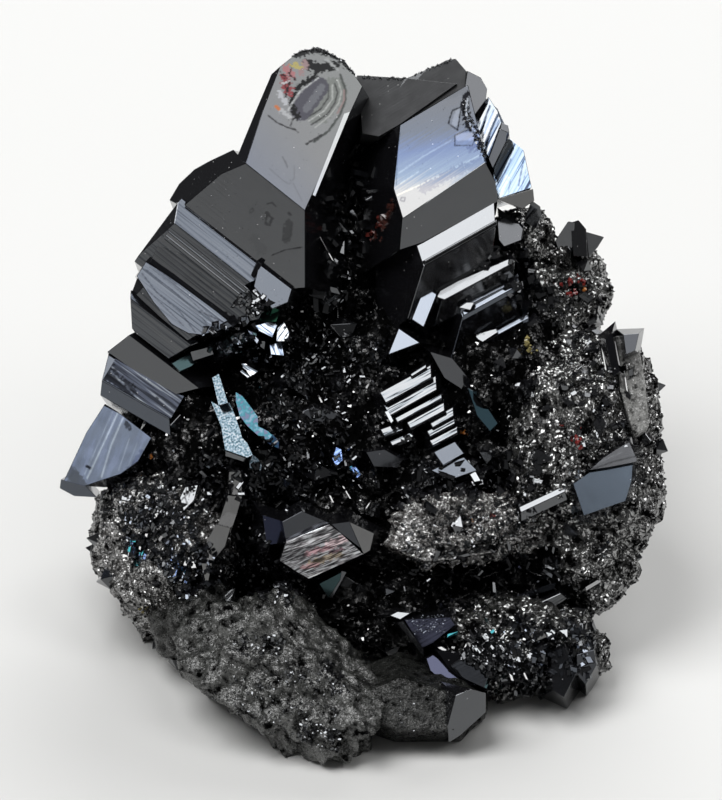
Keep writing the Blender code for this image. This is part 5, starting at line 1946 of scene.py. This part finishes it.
@dataclass
class Nests:
    """Every nest of small crystals that shares one finish.

    Args:
        name: name of the piece.
        nests: the nests and slivers.
        finish: what they are made of.
    """

    name: str
    nests: Sequence["Nest | Sliver"]
    finish: Finish = MIRROR

    def build(self, ground: Ground) -> bpy.types.Object:
        """Return the finished piece."""
        cluster = Cluster(self.name, 0.0)
        for nest in self.nests:
            nest.add_to(cluster, ground)
        return cluster.finish(self.finish)


BRIGHT = ((25.0, 120.0), (26.0, 115.0))
GREY = ((25.0, -70.0), (24.0, 231.0))
BLACK = ((6.0, 90.0), (10.0, 160.0), (50.0, 200.0))
NESTS = (
    Nest(
        [(-12.1, 4.9), (-7.9, 6.1)], 0.5, 60, (0.12, 0.35), BRIGHT + GREY, tints=(Tint.STEEL, Tint.NEUTRAL),
        seed=3,
    ),
    Nest(
        [(-11.2, 4), (-8.1, 4.2), (-7.6, 2.9)], 0.9, 170, (0.1, 0.36), (RIGHT_UP, LEFT_UP, (25, -70)),
        tints=(Tint.STEEL, Tint.NEUTRAL, Tint.SEA), seed=21,
    ),
    Nest([(-8.7, 8.3), (-7.2, 7.1)], 0.5, 24, (0.12, 0.3), BRIGHT, seed=5),
    Nest([(-0.8, 17.7), (-1.2, 12.3), (-2.4, 6.9)], 1.8, 80, (0.1, 0.4), stretch=3, seed=6),
    Nest([(-1.6, 5.4), (-4.7, -1.5), (-2.4, -7.7)], 3.4, 420, (0.05, 0.17), stretch=3, seed=7),
    Nest([(-5.8, -3.8), (-7.6, -6.9), (-12.7, -5.4)], 1.6, 160, (0.06, 0.24), stretch=3, seed=8),
    Nest([(1.5, -7.7), (8.4, -6.2), (13.8, -5.4)], 1.5, 90, (0.1, 0.4), stretch=2.5, seed=9),
    Nest([(3, -13.1), (15.3, -12.3)], 1.8, 80, (0.08, 0.25), stretch=3.5, seed=10),
    Nest([(10.7, -18.5), (17.6, -19.2)], 2, 200, (0.08, 0.36), tints=(Tint.NEUTRAL, Tint.STEEL), seed=11),
    Nest(
        [(3.9, -17.2), (6.5, -17.1)], 0.7, 150, (0.03, 0.06), BRIGHT, tints=(Tint.STEEL,), lift=0.03,
        seed=31,
    ),
    Nest([(-9.3, -18.9), (-5.8, -18.5)], 0.8, 60, (0.06, 0.2), BRIGHT + GREY, lift=0.1, seed=32),
    Nest([(-5.8, -20.9), (-3.8, -21.1)], 0.6, 36, (0.06, 0.18), BRIGHT + GREY, lift=0.1, seed=33),
    Nest([(-2.7, -19.8), (-1.5, -22.3)], 0.6, 60, (0.06, 0.2), BRIGHT + GREY, lift=0.1, seed=34),
    Nest([(-4.7, -25.1), (-1.6, -26)], 0.9, 90, (0.06, 0.18), BRIGHT + GREY, lift=0.1, seed=35),
    Nest([(-8.2, -22), (-7.6, -22.3)], 0.5, 16, (0.06, 0.16), BRIGHT, lift=0.1, seed=36),
    Nest([(-11.2, -12.8), (-4.7, -14.6)], 1.4, 160, (0.05, 0.22), seed=37),
    Nest(
        [(-5.5, 26.4), (-4.5, 26.8), (-3.3, 26.9), (-1.6, 26.3), (-0.4, 24.8)], 0.14, 130, (0.04, 0.11),
        GREY + BLACK, lift=0.04, seed=38,
    ),
    Nest(
        [(-17.8, -8.5), (-13.6, -11.5), (-11.9, -14.6)], 2.1, 380, (0.06, 0.3),
        GREY + BRIGHT + (RIGHT_UP, RIGHT_UP), 16, tints=(Tint.NEUTRAL, Tint.STEEL), seed=12,
    ),
    Nest(
        [(8.4, -18.5), (12.2, -21.2), (14.2, -22)], 1.4, 420, (0.05, 0.32), GREY + BRIGHT + (RIGHT_UP,), 16,
        seed=52,
    ),
    Nest([(-14.7, 15.4), (-8.5, 11.5), (-9.3, 6.9)], 3.6, 240, (0.018, 0.032), BRIGHT, lift=0.02, seed=53),
    Nest([(-4.7, 22.3), (-6.6, 16.9)], 2.2, 60, (0.018, 0.03), BRIGHT, lift=0.02, seed=54),
    Nest([(5.3, 22.3), (6.8, 15.4)], 2.6, 50, (0.018, 0.03), BRIGHT, lift=0.02, seed=55),
    Nest(
        [(-15, -12.8), (-13.2, -13.1)], 0.8, 70, (0.06, 0.26), BRIGHT, 12, 2.2, 70,
        (Tint.STEEL, Tint.BLUE, Tint.WHITE), seed=40,
    ),
    Nest(
        [(-17.6, -10.8), (-16.8, -12.5)], 0.5, 40, (0.05, 0.22), BRIGHT, 12, 2.2, 70,
        (Tint.STEEL, Tint.BLUE, Tint.TEAL), seed=41,
    ),
    Nest([(-15.5, -8.1), (-14.1, -8.6)], 0.6, 36, (0.08, 0.3), BRIGHT, 12, 2.4, 60, seed=44),
    Nest(
        [(3.3, -11.4), (6.1, -10.5), (9.9, -9.2), (13.5, -10.3)], 1.9, 460, (0.04, 0.2),
        GREY + BRIGHT + (RIGHT_UP,), 18, lift=0.05, seed=42,
    ),
    Nest([(11.1, -19.7), (12.5, -21.5)], 0.7, 150, (0.04, 0.22), BRIGHT + GREY, 14, 2.4, -60, seed=56),
    Nest(
        [(-15.5, -8), (-15.9, -9.7), (-16.8, -11.2)], 0.4, 70, (0.05, 0.24), BRIGHT + GREY, 14, 2.2, 60,
        seed=57,
    ),
    Nest(
        [(8.1, -18.5), (10.7, -19.4)], 1.1, 120, (0.05, 0.26), GREY + BRIGHT + (RIGHT_UP,), 14, 2.4, -50,
        seed=58,
    ),
    Nest(
        [(-11.5, 4.6), (-7.9, 3.7)], 0.9, 300, (0.06, 0.26), BRIGHT + GREY + (RIGHT_UP,),
        tints=(Tint.STEEL, Tint.SEA), seed=43,
    ),
    Nest([(-9.6, 7.7), (-7.6, 6.8), (-9.3, 5.7)], 0.5, 60, (0.05, 0.2), GREY + BRIGHT, seed=48),
    Nest([(-5.3, 6), (-4.7, 3.8), (-5, 2.2)], 0.8, 70, (0.04, 0.14), BRIGHT + GREY, lift=0.1, seed=49),
    Nest([(3, -3.1), (4.4, -4.3), (5.3, -6.5)], 0.6, 110, (0.05, 0.24), BRIGHT + GREY, lift=0.1, seed=50),
    Nest([(6.1, -6.5), (9.5, -7.1)], 0.3, 60, (0.05, 0.24), BRIGHT + GREY, lift=0.1, seed=59),
    Nest(
        [(-8.8, -10), (-7.3, -12.5), (-5.3, -14.2)], 0.9, 260, (0.06, 0.26), (RIGHT_UP, LEFT_UP, (25, 40)),
        14, 2.8, tints=(Tint.NEUTRAL, Tint.SLATE, Tint.DIM), lift=0.2, seed=60,
    ),
    Nest(
        [(0.1, 24.9), (3, 24.7), (5.8, 25.7), (7, 26.2)], 0.12, 120, (0.03, 0.1), GREY + BLACK, lift=0.03,
        seed=51,
    ),
    Nest(
        [(8.1, 23.2), (8, 22.2), (8.5, 21), (9.5, 18.6)], 0.24, 110, (0.04, 0.11), BRIGHT + GREY, lift=0.04,
        seed=39,
    ),
    Nest(
        [(-10.4, -20.3), (-4.7, -22.3), (-2.4, -24.6)], 3.2, 300, (0.04, 0.13), BRIGHT + GREY + BLACK,
        lift=0.03, seed=45,
    ),
    Nest([(2.7, -24.6), (6.1, -24)], 1.6, 70, (0.03, 0.1), BRIGHT + GREY + BLACK, lift=0.03, seed=46),
    Nest([(-18.5, -7.7), (-11.6, -7.7)], 1.6, 300, (0.05, 0.26), BRIGHT + GREY + BLACK, lift=0.1, seed=47),
    Nest([(10.7, 11.5), (12.2, 7.7), (18.4, 6.9)], 1.8, 60, (0.15, 0.6), seed=13),
    Nest([(12.2, 0), (18.4, 3.1), (18.4, -3.8)], 2.4, 90, (0.1, 0.4), seed=14),
)


SLIVERS = tuple(Sliver(*row) for row in (
    ((-0.6, 17.5), (-1.2, 14.5), 0.22), ((-0.3, 20), (-0.7, 18.6), 0.1), ((-4.1, 14.3), (-2.1, 10.6), 0.06),
    ((-2.1, 10.6), (-2.2, 9.2), 0.06), ((-1.8, 8.5), (-1.8, 6.3), 0.07), ((-6.2, 3.1), (-4.7, 2.2), 0.2),
    ((-3.3, 0.4), (-3, -0.2), 0.12), ((-5.5, 3.1), (-5, 2.6), 0.2),
    ((4.5, -7.1), (3.8, -9.1), 0.2, (25, -70)), ((1.9, -11.2), (2.7, -8.8), 0.18, (25, -70)),
    ((-2.4, -7.3), (-1.8, -8.6), 0.1), ((0.8, -7.7), (0.4, -8.3), 0.08), ((-1.4, -6.6), (-0.8, -7.6), 0.08),
    ((7.8, -13.5), (9.4, -12.5), 0.12), ((8.1, -14.2), (10.7, -13.1), 0.1),
    ((2.8, -12.3), (5.3, -14.2), 0.08), ((17.2, -14.5), (18.4, -13.8), 0.25, RIGHT_UP),
    ((11.2, -15.4), (15, -14.2), 0.4, (25, -70), Tint.STEEL), ((10.7, -12.3), (13.8, -13.5), 0.1),
    ((7.2, -15.4), (8.4, -14.8), 0.08), ((5.3, -18.5), (6.5, -19.2), 0.2),
    ((6.6, -18), (7.4, -17.6), 0.2, LEFT_UP, Tint.TEAL),
    ((9.8, -17.9), (10.2, -17.6), 0.2, (25, 120), Tint.TEAL), ((8.2, -18.5), (9, -20.2), 0.14, RIGHT_UP),
    ((8.4, -18), (7.8, -19.2), 0.1, LEFT_UP), ((11, -19.6), (11.6, -21.5), 0.16),
    ((11.8, -19.4), (12.7, -21.4), 0.12), ((10.5, -18.5), (11.1, -17.8), 0.16),
    ((19.4, 4.6), (19.8, 2.6), 0.1, RIGHT_UP), ((18.4, 4.5), (18.8, 2.2), 0.08),
    ((20, 3.4), (20.4, 0.6), 0.08), ((-15.5, -8.1), (-15.8, -9.1), 0.2),
    ((-16.2, -9.2), (-16.5, -10.5), 0.18), ((-16.8, -10.6), (-17, -11.5), 0.14),
    ((-13.2, -11.7), (-12.8, -12.9), 0.34, LEFT_UP), ((-14.8, -9.7), (-15.5, -10.8), 0.2, RIGHT_UP),
))


@dataclass(frozen=True)
class Speck:
    """A small coloured spot.

    Args:
        at: its place on the show side.
        size: its size, in millimetres.
        colour: its colour.
    """

    at: Point
    size: float
    colour: Point


RED = (0.2, 0.02, 0.018)
ORANGE = (0.4, 0.14, 0.03)
YELLOW = (0.26, 0.22, 0.09)
GREEN = (0.015, 0.1, 0.065)
BROWN = (0.04, 0.014, 0.011)
DEEP_RED = (0.12, 0.02, 0.015)
CYAN = (0.1, 0.5, 0.75)
SKY = (0.25, 0.45, 0.85)
SPOTS = {
    RED: (
        ((15.8, 9), 0.7), ((16.2, 8.3), 0.6), ((17.1, 9.2), 0.6), ((16.6, 8.4), 0.5), ((16.3, -3.1), 0.7),
        ((16.8, -3.6), 0.6), ((10.1, -8.9), 0.3), ((16.3, 9.1), 0.5), ((16.7, 9.5), 0.3),
        ((16.5, -2.8), 0.5), ((16.5, -3.4), 0.4), ((16.7, -2.3), 0.35), ((15.3, -1.9), 0.3),
    ),
    BROWN: (((2.5, 14.8), 0.9), ((2.2, 14.4), 1), ((1.8, 13.8), 1.1), ((1.5, 13.1), 1), ((1.2, 12.4), 0.8)),
    ORANGE: (((17.3, 8.5), 0.5), ((8.4, -9.2), 0.3), ((-16.2, -4.3), 0.4), ((7.9, -2.5), 0.35)),
    DEEP_RED: (((0.9, 12.7), 0.8), ((1.2, 13.7), 0.7)),
    YELLOW: (((12.7, 4.5), 0.8), ((13.1, 3.8), 0.5), ((-16.7, -16), 0.5)),
    GREEN: (((-5.5, -4.8), 0.45), ((-7.1, 6.7), 0.3)),
    SKY: (((-1.8, -4.4), 0.5), ((-0.3, -5.5), 0.5), ((-13.8, -12.9), 0.6)),
    CYAN: (((-0.8, -5.2), 0.3), ((-17.5, -10.8), 0.4), ((-13.5, -13.2), 0.4)),
}
SPECKS = tuple(
    Speck(at, size, colour) for colour, spots in SPOTS.items() for at, size in spots
)


@dataclass(frozen=True)
class Stain(Finish):
    """Glossy coloured spot."""

    roughness: float = 0.15
    ior: float = 1.6


@dataclass
class Specks:
    """The coloured spots, one piece."""

    specks: Sequence[Speck] = SPECKS

    def build(self, ground: Ground) -> bpy.types.Object:
        """Return the finished piece."""
        cluster = Cluster("specks", 0.0)
        rng = random.Random(3)
        colours = sorted({speck.colour for speck in self.specks})
        counts = []
        for colour in colours:
            for speck in (s for s in self.specks if s.colour == colour):
                self._one(cluster, speck, ground, rng)
            counts.append(len(cluster.shape.faces))
        made = cluster.finish(Stain("stain_0", colours[0]))
        for n, colour in enumerate(colours[1:], 1):
            made.data.materials.append(Stain(f"stain_{n}", colour).material())
        slot = 0
        for n, face in enumerate(made.data.polygons):
            while n >= counts[slot]:
                slot += 1
            face.material_index = slot
        return made

    def _one(self, cluster: Cluster, speck: Speck, ground: Ground, rng: random.Random) -> None:
        """Add the crumbs of one spot."""
        for _ in range(CRUMBS):
            across = speck.at[0] + rng.gauss(0, 0.3) * speck.size
            up = speck.at[1] + rng.gauss(0, 0.3) * speck.size
            out = ground.out_at(across, up)
            if out is not None:
                size = speck.size * rng.uniform(0.15, 0.35)
                add_grain(cluster, Vector((across, up, out)), size, random_turn(rng))


@dataclass
class Druse:
    """Fine crystals strewn over the rough mass.

    Args:
        ground: piece that they grow on.
        density: crystals per square metre.
        size: their largest size, in metres.
        seed: seed of their places.
    """

    ground: bpy.types.Object
    density: float = 1.6e6
    size: float = 0.00032
    seed: int = 7
    finish: Finish = DRUSE

    def _tree(self) -> bpy.types.NodeTree:
        """Return the node tree that strews them."""
        tree = bpy.data.node_groups.new("strew_" + self.ground.name, "GeometryNodeTree")
        kinds = {"Geometry": "Geometry", "Density": "Float", "Size": "Float", "Seed": "Int"}
        for name, kind in kinds.items():
            tree.interface.new_socket(name=name, in_out="INPUT", socket_type="NodeSocket" + kind)
        tree.interface.new_socket(name="Geometry", in_out="OUTPUT", socket_type="NodeSocketGeometry")
        start = add_node(tree, "NodeGroupInput").outputs
        strew = add_node(tree, "GeometryNodeDistributePointsOnFaces", {
            "Mesh": start["Geometry"], "Density": start["Density"], "Seed": start["Seed"],
        })
        shape = add_node(tree, "GeometryNodeMeshCone", {
            "Vertices": 4, "Radius Top": 0.45, "Radius Bottom": 0.7, "Depth": 1.3,
        }, fill_type="NGON")
        turn = add_node(tree, "FunctionNodeRandomValue", {
            0: (0.0, 0.0, 0.0), 1: (math.tau,) * 3,
        }, data_type="FLOAT_VECTOR")
        scale = add_node(tree, "FunctionNodeRandomValue", {2: 0.25, 3: 1.0}, data_type="FLOAT")
        grow = add_node(tree, "ShaderNodeMath", {0: scale.outputs[1], 1: start["Size"]}, operation="MULTIPLY")
        place = add_node(tree, "GeometryNodeInstanceOnPoints", {
            "Points": strew.outputs["Points"], "Instance": shape.outputs["Mesh"],
            "Rotation": turn.outputs[0], "Scale": grow.outputs["Value"],
        })
        real = add_node(tree, "GeometryNodeRealizeInstances", {"Geometry": place.outputs["Instances"]})
        dress = add_node(tree, "GeometryNodeSetMaterial", {
            "Geometry": real.outputs["Geometry"], "Material": self.finish.material(),
        })
        add_node(tree, "NodeGroupOutput", {"Geometry": dress.outputs["Geometry"]})
        return tree

    def build(self) -> bpy.types.Object:
        """Return the crystals as one plain mesh piece."""
        holder = self.ground.copy()
        bpy.context.scene.collection.objects.link(holder)
        strew = holder.modifiers.new("strew", "NODES")
        strew.node_group = self._tree()
        values = {"Density": self.density, "Size": self.size, "Seed": self.seed}
        for item in strew.node_group.interface.items_tree:
            if item.in_out == "INPUT" and item.name in values:
                strew[item.identifier] = values[item.name]
        bpy.context.view_layer.update()
        seen = holder.evaluated_get(bpy.context.evaluated_depsgraph_get())
        mesh = bpy.data.meshes.new_from_object(seen)
        bpy.data.objects.remove(holder, do_unlink=True)
        mesh.name = "druse_" + self.ground.name
        made = bpy.data.objects.new(mesh.name, mesh)
        bpy.context.scene.collection.objects.link(made)
        self._lift(mesh)
        return made

    def _lift(self, mesh: bpy.types.Mesh) -> None:
        """Keep every crystal above the ground."""
        for vertex in mesh.vertices:
            vertex.co.z = max(vertex.co.z, 0.0)


DRUSES = {
    "rough_deep": (1.8e6, 0.00024),
    "rough_crust": (4.2e6, 0.0002),
    "rough_tongue": (5.0e6, 0.00014),
    "rough_grit": (5.0e6, 0.00015),
}


@dataclass
class Studio:
    """Pale floor, soft lamps and the camera.

    Args:
        distance: how far the camera is from the specimen, in metres.
        height_seen: height of the picture at the specimen, in metres.
        world: strength of the light from all round.
    """

    distance: float = 1.0
    height_seen: float = 0.8 / 13.0
    world: float = 0.1

    def build(self) -> None:
        """Make everything that isn't the specimen."""
        self._floor()
        self._lamp("lamp_left", (-0.383, -0.146, 0.912), (0.4, 0.5), 7.0)
        self._lamp("lamp_right", (0.476, -0.182, 0.86), (0.26, 0.5), 2.7)
        self._lamp("lamp_back", (0.3, 0.8, 0.6), (0.7, 0.3), 6.0)
        self._surroundings()
        self._camera()

    def _floor(self) -> None:
        """Make the floor."""
        mesh = bpy.data.meshes.new("floor")
        half = 1.6
        corners = [(-half, -half, 0.0), (half, -half, 0.0), (half, half, 0.0), (-half, half, 0.0)]
        mesh.from_pydata(corners, [], [(0, 1, 2, 3)])
        mesh.materials.append(Finish("pale_floor", (0.68, 0.68, 0.67), 0.8, 1.3).material())
        floor = bpy.data.objects.new("floor", mesh)
        bpy.context.scene.collection.objects.link(floor)

    def _lamp(self, name: str, aim: Point, size: Aim, radiance: float, away: float = 0.7) -> None:
        """Make one soft rectangular lamp that looks at the specimen."""
        light = bpy.data.lights.new(name, "AREA")
        light.shape = "RECTANGLE"
        light.size, light.size_y = size
        light.energy = radiance * size[0] * size[1] * math.pi
        lamp = bpy.data.objects.new(name, light)
        direction = Vector(aim).normalized()
        lamp.location = direction * away + Vector((0.0, 0.0, 0.02))
        lamp.rotation_euler = direction.to_track_quat("Z", "Y").to_euler()
        lamp.visible_camera = False
        bpy.context.scene.collection.objects.link(lamp)

    def _surroundings(self) -> None:
        """Make the light from all round."""
        world = bpy.data.worlds.new("surroundings")
        bpy.context.scene.world = world
        world.use_nodes = True
        sky = world.node_tree.nodes["Background"]
        sky.inputs["Color"].default_value = (self.world, self.world, self.world, 1.0)

    def _camera(self) -> None:
        """Make the camera, which looks straight at the show side."""
        data = bpy.data.cameras.new("camera")
        data.lens = data.sensor_width * self.distance / self.height_seen
        data.clip_start, data.clip_end = 0.05, 10.0
        camera = bpy.data.objects.new("camera", data)
        show = SHOW.matrix()
        turn = show.to_3x3().normalized()
        camera.rotation_euler = turn.to_euler()
        camera.location = show @ Vector((0.0, 0.0, self.distance / MM))
        bpy.context.scene.collection.objects.link(camera)
        bpy.context.scene.camera = camera
        bpy.context.scene.view_settings.view_transform = "Standard"


def main() -> None:
    """Build the specimen and its studio."""
    logging.basicConfig(level=logging.INFO, format="%(message)s")
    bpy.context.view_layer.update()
    pieces = []
    groups = (
        LeftCrystal(), LeftSteps(), LeftTop(), RightCrystal(), RightTop(), RightBack(), BackCrystal(),
        Ladder(), LowCrystals(), BackSide(), *FACES,
    )
    for group in groups:
        pieces.append(group.build())
        LOG.info("%s: %d faces", pieces[-1].name, len(pieces[-1].data.polygons))
    rough = RoughMass().build()
    pieces.extend(rough)
    named = {piece.name: piece for piece in rough}
    for n, (name, (density, size)) in enumerate(DRUSES.items()):
        pieces.append(Druse(named[name], density, size, seed=7 + n).build())
        LOG.info("%s: %d faces", pieces[-1].name, len(pieces[-1].data.polygons))
    ground = Ground(pieces)
    pieces.append(Nests("nests", NESTS + SLIVERS).build(ground))
    pieces.append(Specks().build(ground))
    for piece in pieces[-2:]:
        LOG.info("%s: %d faces", piece.name, len(piece.data.polygons))
    for piece in pieces:
        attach(piece, "root")
    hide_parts(CAD_NODE)
    Studio().build()


if __name__ == "__main__":
    main()
